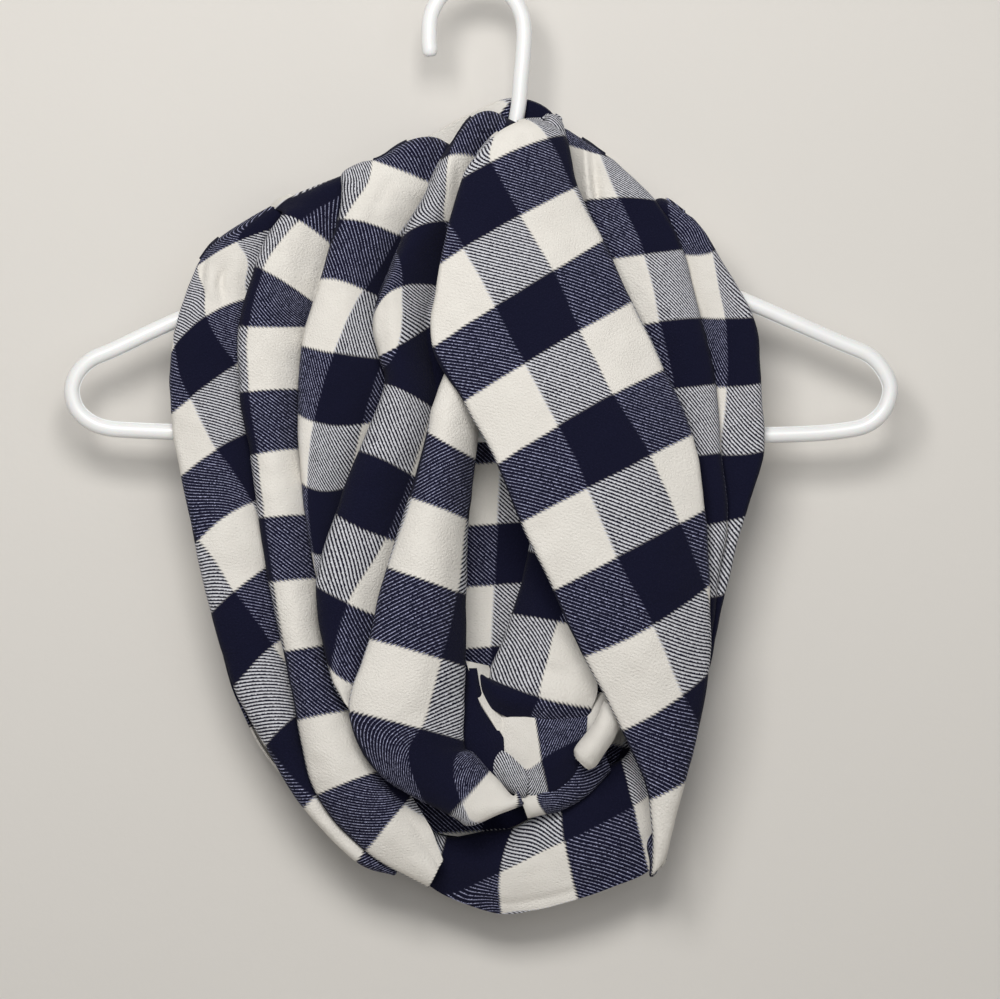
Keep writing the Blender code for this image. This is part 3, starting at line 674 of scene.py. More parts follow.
def stretch(node, rows, left, right, goes_over, creases,
            wrong_side=False, level_with="", has_solid=True):
    """One stretch of the loop, from its upper end down, in place of its plain solid. Its left and
    right edges are folded, tucked or plain. A tuck that has no solid of its own is as far out as
    the piece it is level with."""
    rows = np.array(rows, float)
    if wrong_side:
        rows[..., 3] = 1 - rows[..., 3]
    steps = np.linspace(0, len(rows) - 1, LINE_STEPS * (len(rows) - 1) + 1)
    if goes_over:  # lines close together, round the turn over the hanger's top
        fine = np.linspace(0, CREST_ROWS, 100 * CREST_ROWS + 1)
        middles = smooth_rows(rows, fine)[:, 1, :2]
        away = np.linalg.norm(middles - middles[0], axis=1)
        turned = [CREST_RADIUS * (1 - math.cos(math.radians(angle))) for angle in CREST_TURNS]
        early = np.interp(turned, away, fine)
        steps = np.concatenate([early, steps[steps > early[-1] + CREST_FINE]])
    lines = smooth_rows(rows, steps)
    top = lines[0]
    points = []
    weave = []
    for line in lines:
        width = np.linalg.norm(line[2, :2] - line[0, :2])
        places = stations(width, left, right)
        found = across(line, places[:, 0] / width)
        flat_cloth = across(line, places[:, 2] / width)[:, 3:]
        behind = places[:, 1]
        if goes_over:
            start = across(top, places[:, 0] / width)
            rest = np.clip(1 - np.linalg.norm(found[:, :2] - start[:, :2], axis=1) / CREST_RADIUS, 0, 1)
            found[:, 2] -= CREST_RADIUS * (1 - np.sqrt(1 - rest**2))
            behind = behind * (1 - CREST_CLOSE * rest)
            rounded = np.clip(1 - places[:, 0] / ROUNDED, 0, ROUNDED_MOST) ** 2
            if right == "folded":
                rounded += np.clip(1 - (width - places[:, 0]) / ROUNDED, 0, ROUNDED_MOST) ** 2
            found[:, 1] += ROUNDED_DROP * rounded * rest
            if right == "tucked":
                found[:, 1] += COVERED_DROP * np.clip((places[:, 0] - width) / TUCK, 0, 1) * rest
        points.append(found[:, :3] - behind[:, None] * (0, 0, 1))
        weave.append(flat_cloth)
    points = np.array(points)
    weave = np.array(weave)
    if level_with:
        lifts[node] = lifts[level_with]
    else:
        lifts[node] = -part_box(node)[0].y / MM - points[..., 2].max()
    points[..., 2] += lifts[node]
    points[..., 2] += crease_relief(points[..., :2], creases)
    if goes_over:
        crest = stations(np.linalg.norm(top[2, :2] - top[0, :2]), left, right)
        points, weave = laid_back(points, weave, (1 - CREST_CLOSE) * crest[:, 1])
    points = to_xyz(points)
    seed = float(sum(map(ord, node)) % SEEDS)
    points[..., 1] -= unevenness(points, size=26.0, height=0.9, seed=seed)
    points[..., 0] += unevenness(points, size=40.0, height=0.8, seed=seed + 50)
    made = cloth(node + "_cloth", points, weave, flannel)
    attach(made, "root")
    if has_solid:
        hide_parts(node)


def laid_back(points, weave, behind):
    """Carries a stretch on over the top and down on to the back swag, where its end sinks in."""
    table = np.array(BACK_SWAG)
    start = points[0]
    x = start[:, 0]
    share = np.interp(x, table[:, 0], np.linspace(0, 1, len(table)))
    top = np.interp(x, table[:, 0], table[:, 1])
    bottom = np.interp(x, table[:, 0], table[:, 2])
    tail = []
    for down, sink in TAIL_STEPS:
        out = swag_face(share, down / (bottom - top), bottom - top) + swag_shift + sink + behind
        target = np.stack([x, np.maximum(top + down, start[:, 1] + down * TAIL_SLOPE), out], axis=1)
        if not tail:
            for part in TAIL_SHARES:
                between = start + (target - start) * part
                between[:, 1] -= TAIL_ARCH * math.sin(math.pi * part)
                tail.append(between)
        tail.append(target)

    # The check runs on over the top, along the cloth.
    way = np.linalg.norm(start[:, :2] - points[CHECK_LINE, :, :2], axis=1)
    lengthwise = (weave[0] - weave[CHECK_LINE]) / np.maximum(way, 0.5)[:, None]
    size = np.linalg.norm(lengthwise, axis=1)
    lengthwise *= (np.minimum(size, 1 / LEAST_SQUARE) / np.maximum(size, 1e-6))[:, None]
    spans = np.linalg.norm(np.diff(np.array([start] + tail), axis=0), axis=2).cumsum(axis=0)
    tail_weave = weave[0] + lengthwise * spans[..., None]
    return (
        np.concatenate([np.array(tail)[::-1], points]),
        np.concatenate([tail_weave[::-1], weave]),
    )


RIGHT_OUTER_FALL = (
    ((86, 106, 9, 1.8, 1), (93, 104.5, 12, 1.95, 1), (102, 108.5, 11, 2.2, 1)),
    ((92, 119, 9, 1.85, 1.5), (103, 118, 13, 2.2, 1.5), (113, 120, 12, 2.6, 1.5)),
    ((99.5, 132, 9.5, 1.9, 2), (111, 133.5, 14, 2.6, 2), (120, 131, 12.7, 3.1, 2)),
    ((107.5, 164, 9.5, 1.85, 3), (124, 165, 14, 3, 3), (139, 164.5, 12.7, 3.55, 3)),
    ((114.5, 199, 9.5, 2.6, 4), (130, 199, 14, 3.2, 4), (142.5, 197.5, 12.7, 3.7, 4)),
    ((117.5, 232.5, 9, 2.9, 5), (131, 233, 13, 3.3, 5), (143, 231, 12.7, 3.65, 5)),
    ((119, 266, 8, 3, 6), (128, 265.5, 12, 3.3, 6), (134.5, 263.5, 12, 3.5, 6)),
    ((113, 304, 8, 3.1, 7), (120, 303.5, 11, 3.3, 7), (124.5, 302, 11, 3.45, 7)),
    ((108.5, 339, 8, 3.2, 8), (113, 339, 10, 3.3, 8), (116.5, 339, 10, 3.4, 8)),
)
RIGHT_OUTER_CREASES = (
    (((118, 150), (126, 190), (128, 240)), 5, -0.8),
)
RIGHT_INNER_FALL = (
    ((40, 66, 10, 0.4, -0.4), (51, 74, 14, 0.75, -0.4), (62, 80, 15, 1, -0.4)),
    ((45, 78, 10, 0.5, 0), (56, 82, 16, 0.85, 0), (68, 85, 16, 1.15, 0)),
    ((48, 107, 11, 0.35, 1), (70, 105, 18, 0.97, 1), (89.5, 106.5, 17, 1.6, 1)),
    ((58.5, 136.5, 11, 0.3, 2), (84, 133.5, 19, 1, 2), (103.5, 131, 17, 1.9, 2)),
    ((76, 169, 11, 0.6, 3), (97, 166, 19, 1.2, 3), (112, 165, 17, 1.95, 3)),
    ((90, 201, 11, 0.75, 4), (106, 199.5, 19, 1.3, 4), (119.5, 198, 17, 1.95, 4)),
    ((103.5, 234, 11, 1.2, 5), (114, 233, 18, 1.6, 5), (122.5, 232, 17, 2, 5)),
    ((108.5, 268.5, 11, 1.4, 6), (117.5, 267.5, 17, 1.7, 6), (125, 266, 16, 2, 6)),
    ((108, 304, 10, 1.5, 7), (114, 304, 16, 1.7, 7), (120, 303.5, 15, 1.9, 7)),
    ((107, 335, 9, 1.6, 7.9), (111.5, 335, 14, 1.75, 7.9), (116, 335, 14, 1.9, 7.9)),
)
RIGHT_INNER_CREASES = (
    (((53.5, 78), (54.5, 90), (56.5, 104), (59, 118)), 2.4, 4.2),
    (((58.5, 80), (59.5, 93), (61.5, 106), (65, 118)), 2.0, -2.4),
    (((78, 92), (90, 112), (98, 150)), 6, -1.0),
)
stretch("right_outer_fall", RIGHT_OUTER_FALL, "tucked", "folded", True, RIGHT_OUTER_CREASES)
stretch("right_inner_fall", RIGHT_INNER_FALL, "tucked", "folded", True, RIGHT_INNER_CREASES)

# ---- Outer left fall --------------------------------------------------------------------
# The outermost length on the left: flannel drawn over the left shoulder and round the outside
# of the loop to its lowest point, its outer edge turned under.

OUTER_LEFT_FALL = (
    ((-136.5, 131.5, 12.5, 0, -0.5), (-119, 118, 14, 0.5, -0.65), (-97, 106, 16, 0.95, -0.7)),
    ((-137.5, 134, 12.5, 0, -0.3), (-119, 121, 14, 0.85, -0.4), (-95, 110, 14, 1.3, -0.4)),
    ((-139.5, 139, 12.5, -0.05, 0), (-119, 127, 14, 0.98, 0), (-98, 119.5, 9.5, 1.55, 0)),
    ((-146.5, 157, 12.5, -0.5, 0.5), (-127, 144, 14, 0.4, 0.5), (-106.5, 136, 9.5, 1.3, 0.5)),
    ((-152, 182, 12.5, -1.15, 1), (-136.5, 165, 14, -0.1, 1), (-114, 155, 9.5, 0.95, 1)),
    ((-152, 212.5, 12.5, -1.4, 2), (-135.5, 199.5, 15.5, -0.7, 2), (-118, 186.5, 9.5, 0.1, 2)),
    ((-147, 243.5, 12.5, -1.75, 3), (-130, 231, 15.5, -1.05, 3), (-114, 222, 9.5, -0.4, 3)),
    ((-140, 277.5, 12.5, -2.05, 4), (-125, 263.5, 15.5, -1.55, 4), (-109.5, 256, 9.5, -0.9, 4)),
    ((-132, 312, 12.5, -2.45, 5), (-118.5, 299.5, 15.5, -1.93, 5), (-104, 288.5, 9.5, -1.3, 5)),
    ((-120.5, 349, 12.5, -2.8, 6), (-109, 335.5, 15.5, -2.35, 6), (-97.5, 325.5, 9.5, -1.85, 6)),
    ((-105, 378.5, 12.5, -3, 7), (-97, 369.5, 15.5, -2.7, 7), (-89, 363, 9.5, -2.4, 7)),
    ((-86, 409, 11, -3.2, 8), (-82, 405, 13, -3.05, 8), (-78, 401, 8, -2.9, 8)),
    ((-60, 436, 7, -3.6, 9), (-57.5, 432.5, 9, -3.5, 9), (-55, 429, 5, -3.4, 9)),
    ((-41, 443, 4, -3.8, 9.6), (-39.5, 441, 5, -3.7, 9.6), (-38, 439, 3, -3.6, 9.6)),
)
OUTER_LEFT_CREASES = (
    (((-131, 128), (-136.5, 139), (-137, 156)), 2.4, -3.2),
    (((-125, 140), (-127, 147), (-125.5, 157)), 2.2, -2.6),
    (((-118, 130), (-119, 150), (-121, 165)), 3.0, 0.9),
    (((-136, 170), (-140, 200), (-134, 240)), 5.0, 0.8),
    (((-128, 190), (-127, 230), (-118, 270)), 4.0, -0.8),
)
stretch("outer_left_fall", OUTER_LEFT_FALL, "folded", "tucked", True, OUTER_LEFT_CREASES)

# ---- Inner folds ------------------------------------------------------------------------
# Flannel crumpled in the bottom of the loop, behind the crossing of the front strands: a broad
# fold, and small tucks pushed up beside and below it, that lie against each other unfastened.

INNER_FOLDS = (
    ((27, 275, 8, -0.9, -1.2), (35, 277.5, 12, -0.5, -1.2), (44, 281, 14, -0.2, -1.2)),
    ((22.5, 296, 9, -0.8, -0.5), (35, 299, 16, -0.35, -0.5), (50.5, 303.5, 18, 0.05, -0.5)),
    ((17.5, 312.5, 10, -0.69, 0), (32, 314.5, 18, -0.25, 0), (53.5, 318.5, 20, 0.39, 0)),
    ((12.5, 327.5, 12, -0.72, 0.5), (32, 331, 22, -0.13, 0.5), (59, 337, 22, 0.67, 0.5)),
    ((7.5, 338.5, 14, -0.75, 0.86), (31, 346.5, 24, -0.04, 0.86), (61, 350, 20, 0.84, 0.86)),
    ((6.5, 344, 15, -0.72, 1), (32, 353.5, 24, 0.01, 1), (58, 359, 18, 0.78, 1)),
    ((0.5, 341, 15, -0.85, 1.25), (21.5, 357.5, 23, -0.2, 1.25), (57, 366, 14, 0.8, 1.25)),
    ((2, 351, 14, -0.8, 1.5), (17, 364, 18, -0.25, 1.6), (56, 372, 10, 0.8, 1.6)),
)
INNER_CREASES = (
    (((22, 330), (36, 340), (52, 345)), 4, -1.2),
    (((30, 300), (36, 315), (38, 335)), 4, 1.0),
)
stretch("inner_folds", INNER_FOLDS, "folded", "plain", False, INNER_CREASES)


def small_tuck(name, rows, left, right):
    """A tuck of its own cloth among the inner folds, which stands for no solid."""
    stretch(name, rows, left, right, False, (),
            level_with="inner_folds", has_solid=False)


# The tuck below the broad fold, with the cloth's wrong side out.
LOWER_TUCK = (
    ((10, 361, 13, 0.4, 0.02), (11, 374, 16, 0.8, 0.02), (12, 387, 14, 1.2, 0.02)),
    ((17, 359, 14, 0.2, 0.28), (18.5, 374, 20, 0.66, 0.28), (19, 393, 17, 1.26, 0.28)),
    ((22.5, 357, 15, -0.05, 0.6), (25, 375, 21, 0.52, 0.62), (25.5, 401, 18, 1.4, 0.66)),
    ((26, 356.5, 15, 0.05, 0.88), (31, 375.5, 21, 0.66, 0.98), (30.5, 404.5, 18, 1.6, 0.8)),
    ((34.5, 356.5, 15, 0.17, 1.2), (38, 376, 21, 0.82, 1.2), (37, 403, 18, 1.75, 1.04)),
    ((45, 357, 14, 0.35, 1.55), (46, 375, 20, 0.93, 1.55), (45, 398, 17, 1.7, 1.5)),
    ((56.5, 359, 12, 0.6, 1.95), (54.5, 372, 17, 0.97, 1.95), (53, 389, 14, 1.6, 1.95)),
)
stretch("lower_tuck", LOWER_TUCK, "plain", "folded", False, (),
        wrong_side=True, level_with="inner_folds")

# The pale tuck at the right, and a narrower one in its shade.
RIGHT_TUCK = (
    ((64, 355, 18, 0.1, 0.05), (68, 358, 20, 0.4, 0.05), (72, 361.5, 18, 0.7, 0.05)),
    ((60, 364, 19, 0.1, 0.3), (64.5, 368, 24, 0.45, 0.3), (70, 373, 19, 0.8, 0.3)),
    ((54.5, 371.5, 19, 0.1, 0.6), (59.5, 376, 25, 0.45, 0.6), (65, 381, 19, 0.85, 0.6)),
    ((49.5, 378.5, 19, 0.12, 0.85), (54.5, 383, 24, 0.45, 0.85), (60.5, 387.5, 19, 0.8, 0.85)),
    ((49.5, 382.5, 18, 0.15, 0.95), (52.5, 386, 21, 0.42, 0.95), (56.5, 389.5, 18, 0.7, 0.95)),
)
stretch("right_tuck", RIGHT_TUCK, "folded", "folded", False, ())
SHADED_TUCK = (
    ((62, 351, 15, 0.2, 0.05), (65, 352, 17, 0.5, 0.05), (68, 353.5, 15, 0.8, 0.05)),
    ((56, 359, 15, 0.2, 0.4), (60, 361, 18, 0.5, 0.4), (65, 363, 16, 0.8, 0.4)),
    ((53, 369, 15, 0.2, 0.8), (56.5, 370.5, 17, 0.5, 0.8), (61, 372, 15, 0.8, 0.8)),
    ((51.5, 375, 14, 0.3, 0.95), (54, 376, 15, 0.5, 0.95), (57, 377.5, 14, 0.7, 0.95)),
)
small_tuck("shaded_tuck", SHADED_TUCK, "plain", "plain")

# The turn of the winding at the left, its corner that is folded over, and its turned edge.
INNER_TURN = (
    ((-6, 339, 18, 1.2, -0.95), (-3.5, 339, 20, 1.35, -0.95), (0, 339, 18, 1.5, -0.95)),
    ((-6, 350, 18, 1.2, -0.8), (-2, 351, 21, 1.4, -0.8), (2.5, 352, 18, 1.6, -0.8)),
    ((-7, 362.5, 19, 1.1, -0.55), (0, 363, 22, 1.45, -0.55), (7.5, 363, 18, 1.75, -0.55)),
    ((-8, 375, 20, 1.05, -0.3), (2, 375, 23, 1.5, -0.3), (14, 374, 19, 1.9, -0.3)),
    ((-4, 387, 20, 1.1, -0.1), (5.5, 385, 22, 1.5, -0.1), (15, 381.5, 19, 1.9, -0.1)),
    ((4, 396, 19, 1.2, -0.02), (9.5, 393, 20, 1.5, -0.02), (15, 388, 18, 1.8, -0.02)),
)
small_tuck("inner_turn", INNER_TURN, "plain", "plain")
TURNED_CORNER = (
    ((6.5, 381, 17, 1.05, 0.1), (5.5, 386.5, 19, 1.3, 0.1), (6.5, 393, 17, 1.6, 0.1)),
    ((13, 380.5, 19, 1.05, 0.35), (12.5, 388, 22, 1.3, 0.35), (13, 396.5, 19, 1.6, 0.35)),
    ((20, 385.5, 20, 1.05, 0.65), (19, 392.5, 23, 1.35, 0.65), (19, 400.5, 20, 1.65, 0.65)),
    ((26.5, 391.5, 19, 1.1, 0.95), (25.5, 397.5, 21, 1.4, 0.95), (25, 404, 18, 1.7, 0.95)),
)
small_tuck("turned_corner", TURNED_CORNER, "plain", "folded")
LOWEST_TUCK = (
    ((22, 405, 17, 0.45, 0.55), (23.5, 408, 19, 0.6, 0.55), (25.5, 413, 17, 0.9, 0.55)),
    ((30, 401, 17, 0.2, 0.96), (31, 406, 20, 0.5, 1), (32.5, 411.5, 17, 0.95, 0.9)),
    ((38, 394, 16, 0.1, 1.3), (40, 401, 19, 0.5, 1.3), (42, 409.5, 16, 0.95, 1.3)),
    ((49.5, 385, 14, 0.1, 1.7), (52, 392.5, 17, 0.5, 1.7), (54.5, 402.5, 14, 0.95, 1.7)),
    ((62, 376, 12, 0.1, 1.96), (64, 382, 14, 0.5, 1.96), (66, 390, 12, 0.95, 1.96)),
)
small_tuck("lowest_tuck", LOWEST_TUCK, "plain", "folded")
TURNED_EDGE = (
    ((-5, 335.5, 19, 0.1, 0.05), (0.5, 336.5, 18, 0.35, 0.05), (7, 338, 10, 0.7, 0.05)),
    ((-2.5, 342.5, 20, 0.1, 0.2), (3, 342.5, 16, 0.35, 0.2), (9.5, 343, 10, 0.7, 0.2)),
    ((0, 350.5, 20, 0.1, 0.4), (5, 350, 16, 0.35, 0.4), (11, 349, 10, 0.7, 0.4)),
    ((4, 359, 20, 0.1, 0.6), (9, 357, 16, 0.35, 0.6), (14.5, 355, 10, 0.7, 0.6)),
    ((8.5, 366.5, 19, 0.1, 0.8), (13.5, 364, 16, 0.35, 0.8), (19, 361, 10, 0.7, 0.8)),
    ((13.5, 375, 17, 0.1, 0.98), (18, 372, 14, 0.35, 0.98), (23, 368.5, 10, 0.7, 0.98)),
)
small_tuck("turned_edge", TURNED_EDGE, "plain", "plain")

# ---- Bottom sling -----------------------------------------------------------------------
# The lowest length of the flannel, wrong side out, slung across from left to right. Its lower
# edge is the cloth's cut edge, with a soft groove above it, and its upper one is turned over.

BOTTOM_SLING = (
    ((-37, 437, 3, 1.3, 0.5), (-32, 428, 5, 1.6, 0.5), (-26, 419, 4, 1.9, 0.5)),
    ((-22, 449.5, 5, 1.1, 1.05), (-16, 436, 9, 1.5, 1.05), (-13, 424, 8, 1.9, 1.05)),
    ((-5.5, 457.5, 6, 0.75, 1.5), (-2, 439, 12, 1.3, 1.5), (4, 421, 11, 1.9, 1.5)),
    ((13, 462.5, 7, 0, 2), (12, 441, 14, 1, 2), (19.5, 419, 12, 1.85, 2)),
    ((32, 460, 8, 0, 2.5), (29.5, 436, 14, 0.88, 2.5), (31, 412, 12, 1.65, 2.5)),
    ((51, 455, 8, 0, 3), (45, 429, 14, 0.9, 3), (43, 406, 11, 1.5, 3)),
    ((69.5, 448.5, 7, 0, 3.5), (64, 418, 13, 0.95, 3.5), (57, 392.5, 10, 1.75, 3.5)),
    ((87, 441, 5, 0, 4), (80, 412, 11, 0.87, 4), (73, 385, 8, 1.8, 4)),
    ((93, 432, 4, 0.05, 4.5), (86, 403, 9, 1, 4.5), (78, 378, 7, 1.8, 4.5)),
    ((97, 416, 3, 0.1, 5), (90, 395, 6, 1, 5), (83, 373, 5, 1.8, 5)),
)
SLING_CREASES = (
    (((-10, 425), (10, 432), (40, 425)), 5, -1.0),
    (((-6, 451.5), (13, 457), (32, 455), (51, 450), (69, 443.5), (84, 437)), 1.7, -1.2),
)
stretch("bottom_sling", BOTTOM_SLING, "plain", "folded", False, SLING_CREASES,
        wrong_side=True)

# ---- Left middle fold -------------------------------------------------------------------
# A rounded fold of the flannel beside the outer left fall, its left edge turned under and its
# right one tucked beneath the next fold. It runs from the shoulder to the lowest point.

LEFT_MIDDLE_FOLD = (
    ((-102, 107, 15, -1.4, -1.4), (-85, 100.5, 18, -0.9, -1.1), (-63.5, 91.5, 10, -0.2, -1)),
    ((-98, 110, 17, -0.6, -0.7), (-82, 107, 18, -0.2, -0.5), (-66.5, 111.5, 10, 0.3, -0.5)),
    ((-96.5, 113.5, 19, -0.25, 0), (-86, 117.5, 22, 0.05, 0), (-72, 128.5, 10, 0.6, 0)),
    ((-104, 124, 19, -0.3, 0.5), (-92, 130, 22, 0.2, 0.5), (-77, 142, 10, 0.75, 0.5)),
    ((-110, 139, 19, -0.15, 1), (-96.5, 146, 22, 0.35, 1), (-81, 156.5, 10, 0.95, 1)),
    ((-118, 169, 19, -0.15, 2), (-102, 169.5, 22, 0.35, 2), (-85.5, 169, 10, 0.9, 2)),
    ((-117.5, 202, 19, -0.15, 3), (-102.5, 200.5, 22, 0.32, 3), (-88, 200, 10, 0.75, 3)),
    ((-112.5, 233.5, 19, -0.12, 4), (-100, 231, 22, 0.28, 4), (-88, 230, 10, 0.65, 4)),
    ((-108, 264.5, 19, -0.1, 5), (-95, 263, 22, 0.3, 5), (-81, 262.5, 10, 0.7, 5)),
    ((-103, 296.5, 19, -0.07, 6), (-91, 295, 23, 0.28, 6), (-79, 294.5, 11, 0.63, 6)),
    ((-96, 330.5, 19, -0.02, 7), (-86, 329, 24, 0.27, 7), (-75.5, 327.5, 12, 0.58, 7)),
    ((-89, 365, 18, 0, 8), (-76.5, 362, 25, 0.42, 8), (-62, 360, 14, 0.82, 8)),
    ((-79.5, 402, 16, 0, 9), (-64, 395.5, 24, 0.5, 9), (-48, 390, 17, 1, 9)),
    ((-55.5, 430.5, 12, 0, 10), (-46, 419, 19, 0.5, 10), (-36.5, 408, 16, 0.95, 10)),
    ((-23.5, 449, 7, 0, 11), (-20.5, 444, 12, 0.2, 11), (-18, 438.5, 10, 0.4, 11)),
)
LEFT_MIDDLE_CREASES = (
    (((-98, 120), (-92, 135), (-88, 150)), 4, 0.9),
)
stretch("left_middle_fold", LEFT_MIDDLE_FOLD, "folded", "tucked", True, LEFT_MIDDLE_CREASES)

# ---- Left inner fold --------------------------------------------------------------------
# The next fold in, of the same flannel: its left edge is turned under, its right one tucked
# beneath the throat fold. It starts near the neck and dies away half way down.

LEFT_INNER_FOLD = (
    ((-47, 84, 15, 0, -0.6), (-31, 75, 18, 0.5, -0.6), (-17.5, 75, 11, 0.93, -0.6)),
    ((-53, 85.5, 18, -0.05, 0), (-38, 91, 20, 0.45, 0), (-21, 98, 11, 1.03, 0)),
    ((-66, 92, 20, -0.55, 0.35), (-46, 100.5, 23, 0.3, 0.35), (-26.5, 108, 11, 1.05, 0.35)),
    ((-67, 101, 20, -0.33, 0.6), (-50, 107.5, 24, 0.3, 0.6), (-29, 114, 11, 1.08, 0.6)),
    ((-69, 116, 20, -0.1, 1), (-54.5, 117.5, 24, 0.4, 1), (-35, 125, 11, 1.15, 1)),
    ((-77.5, 145.5, 20, 0.1, 2), (-64, 147.5, 24, 0.68, 2), (-45, 156.5, 11, 1.4, 2)),
    ((-87, 178.5, 20, 0.25, 3), (-66, 183, 24, 1.2, 3), (-38, 186, 11, 2.35, 3)),
    ((-88.5, 212.5, 20, 0.55, 4), (-71, 218.5, 23, 1.45, 4), (-49, 216, 11, 2.25, 4)),
    ((-87, 246.5, 21, 0.85, 5), (-76, 251, 23, 1.4, 5), (-61, 248, 13, 2.15, 5)),
    ((-82, 281, 21, 0.95, 6), (-77, 283, 22, 1.2, 6), (-70, 281, 15, 1.6, 6)),
    ((-79, 296, 20, 1, 6.5), (-76, 297, 21, 1.2, 6.5), (-72, 296, 16, 1.5, 6.5)),
)
LEFT_INNER_CREASES = (
    (((-40, 95), (-50, 110), (-58, 130)), 4, -1.0),
)
stretch("left_inner_fold", LEFT_INNER_FOLD, "folded", "tucked", True, LEFT_INNER_CREASES)

# ---- Throat fold ------------------------------------------------------------------------
# The fold that comes from beside the hook's stem and crosses down to the left over the others.
# Flannel, its left edge turned under and its right one tucked beneath the front band.

THROAT_FOLD = (
    ((-12, 78.5, 19, -0.15, -0.5), (1, 63, 23, 0.45, -0.5), (14, 64, 14, 0.95, -0.5)),
    ((-19, 88, 21, -0.35, 0), (-10, 84, 26, 0.2, 0), (3, 86, 14, 0.65, 0)),
    ((-27, 106.5, 22, -0.6, 0.5), (-17, 102.5, 28, -0.1, 0.5), (-2, 101, 14, 0.5, 0.5)),
    ((-37, 125, 23, -0.78, 1), (-24.5, 118.5, 29, -0.3, 1), (-8, 117, 15, 0.25, 1)),
    ((-50.5, 164, 23, -1.9, 2), (-40, 151, 29, -1.15, 2), (-20, 149, 15, -0.4, 2)),
    ((-47.5, 184, 24, -1.25, 3), (-37, 178.5, 29, -0.95, 3), (-24, 170, 15, -0.45, 3)),
    ((-45.5, 198, 24, -0.78, 4), (-34.5, 202, 30, -0.42, 4), (-19, 212, 16, 0.1, 4)),
    ((-58, 231, 24, -0.75, 5), (-45, 236, 30, -0.35, 5), (-28.5, 245, 16, 0.1, 5)),
    ((-70.5, 262.5, 24, -0.75, 6), (-56.5, 270, 30, -0.35, 6), (-36.5, 277, 16, 0.27, 6)),
    ((-79, 298, 24, -0.47, 7), (-64, 306, 29, -0.02, 7), (-46, 314, 16, 0.5, 7)),
    ((-74, 336.5, 25, -0.07, 8), (-66, 344, 28, 0.18, 8), (-55, 349, 18, 0.47, 8)),
    ((-66, 354, 25, 0, 8.6), (-63, 357.5, 27, 0.1, 8.6), (-58, 360, 20, 0.3, 8.6)),
)
THROAT_CREASES = (
    (((-9, 90), (-9, 100), (-9, 112)), 2.5, -1.4),
    (((-45, 150), (-46, 165), (-45, 180)), 3.0, -1.4),
)
stretch("throat_fold", THROAT_FOLD, "folded", "tucked", True, THROAT_CREASES)

# ---- Centre strand ----------------------------------------------------------------------
# The inner winding where it comes down beside the gap and turns up again at the bottom, where it
# narrows to its end. The flannel's wrong side is out, and both edges are turned under.

CENTRE_STRAND = (
    ((-15, 190, 31, 0.2, 0.1), (-8, 194, 33, 0.5, 0.1), (1, 201, 19, 0.85, 0.1)),
    ((-21, 207.5, 31, 0.1, 0.5), (-10, 211, 34, 0.45, 0.5), (2, 217, 19, 0.88, 0.5)),
    ((-24.5, 221.5, 31, -0.03, 1), (-13, 228, 36, 0.4, 1), (0, 235, 19, 0.87, 1)),
    ((-33.5, 254, 31, -0.05, 2), (-18.5, 259, 38, 0.46, 2), (-3.5, 265.5, 19, 1.03, 2)),
    ((-44, 288.5, 31, 0, 3), (-24, 295, 39, 0.55, 3), (-4.5, 302.5, 19, 1.12, 3)),
    ((-53, 324, 31, 0, 4), (-28, 330.5, 38, 0.7, 4), (-4.5, 338.5, 19, 1.3, 4)),
    ((-63, 359.5, 30, 0, 5), (-37, 365.5, 36, 0.72, 5), (-6, 375, 19, 1.6, 5)),
    ((-48, 391, 28, 0, 5.5), (-27, 385.5, 32, 1.25, 5.5), (-1, 381, 19, 2.3, 5.5)),
    ((-12.5, 412, 25, 1.55, 6), (-3, 401, 28, 2.25, 6), (7, 390, 18, 2.75, 6)),
    ((-3, 417, 24, 1.9, 6.4), (4, 406.5, 27, 2.3, 6.4), (12, 395, 20, 2.7, 6.4)),
    ((12, 411, 23, 2.05, 6.85), (15.5, 406.5, 25, 2.3, 6.85), (18, 402, 21, 2.55, 6.85)),
    ((23, 407, 20, 2.1, 7.05), (22.5, 403.5, 22, 2.3, 7.05), (20.5, 400, 19, 2.5, 7.05)),
)
CENTRE_CREASES = (
    (((-30, 300), (-26, 330), (-30, 360)), 6, 0.8),
)
stretch("centre_strand", CENTRE_STRAND, "folded", "folded", False, CENTRE_CREASES,
        wrong_side=True)

# ---- Front band -------------------------------------------------------------------------
# The broad length in front, from beside the hook down and across to the right. Flannel laid
# nearly flat, both edges turned under; its upper end rolls back over the bar, and its lower end
# turns back in beneath the loop.

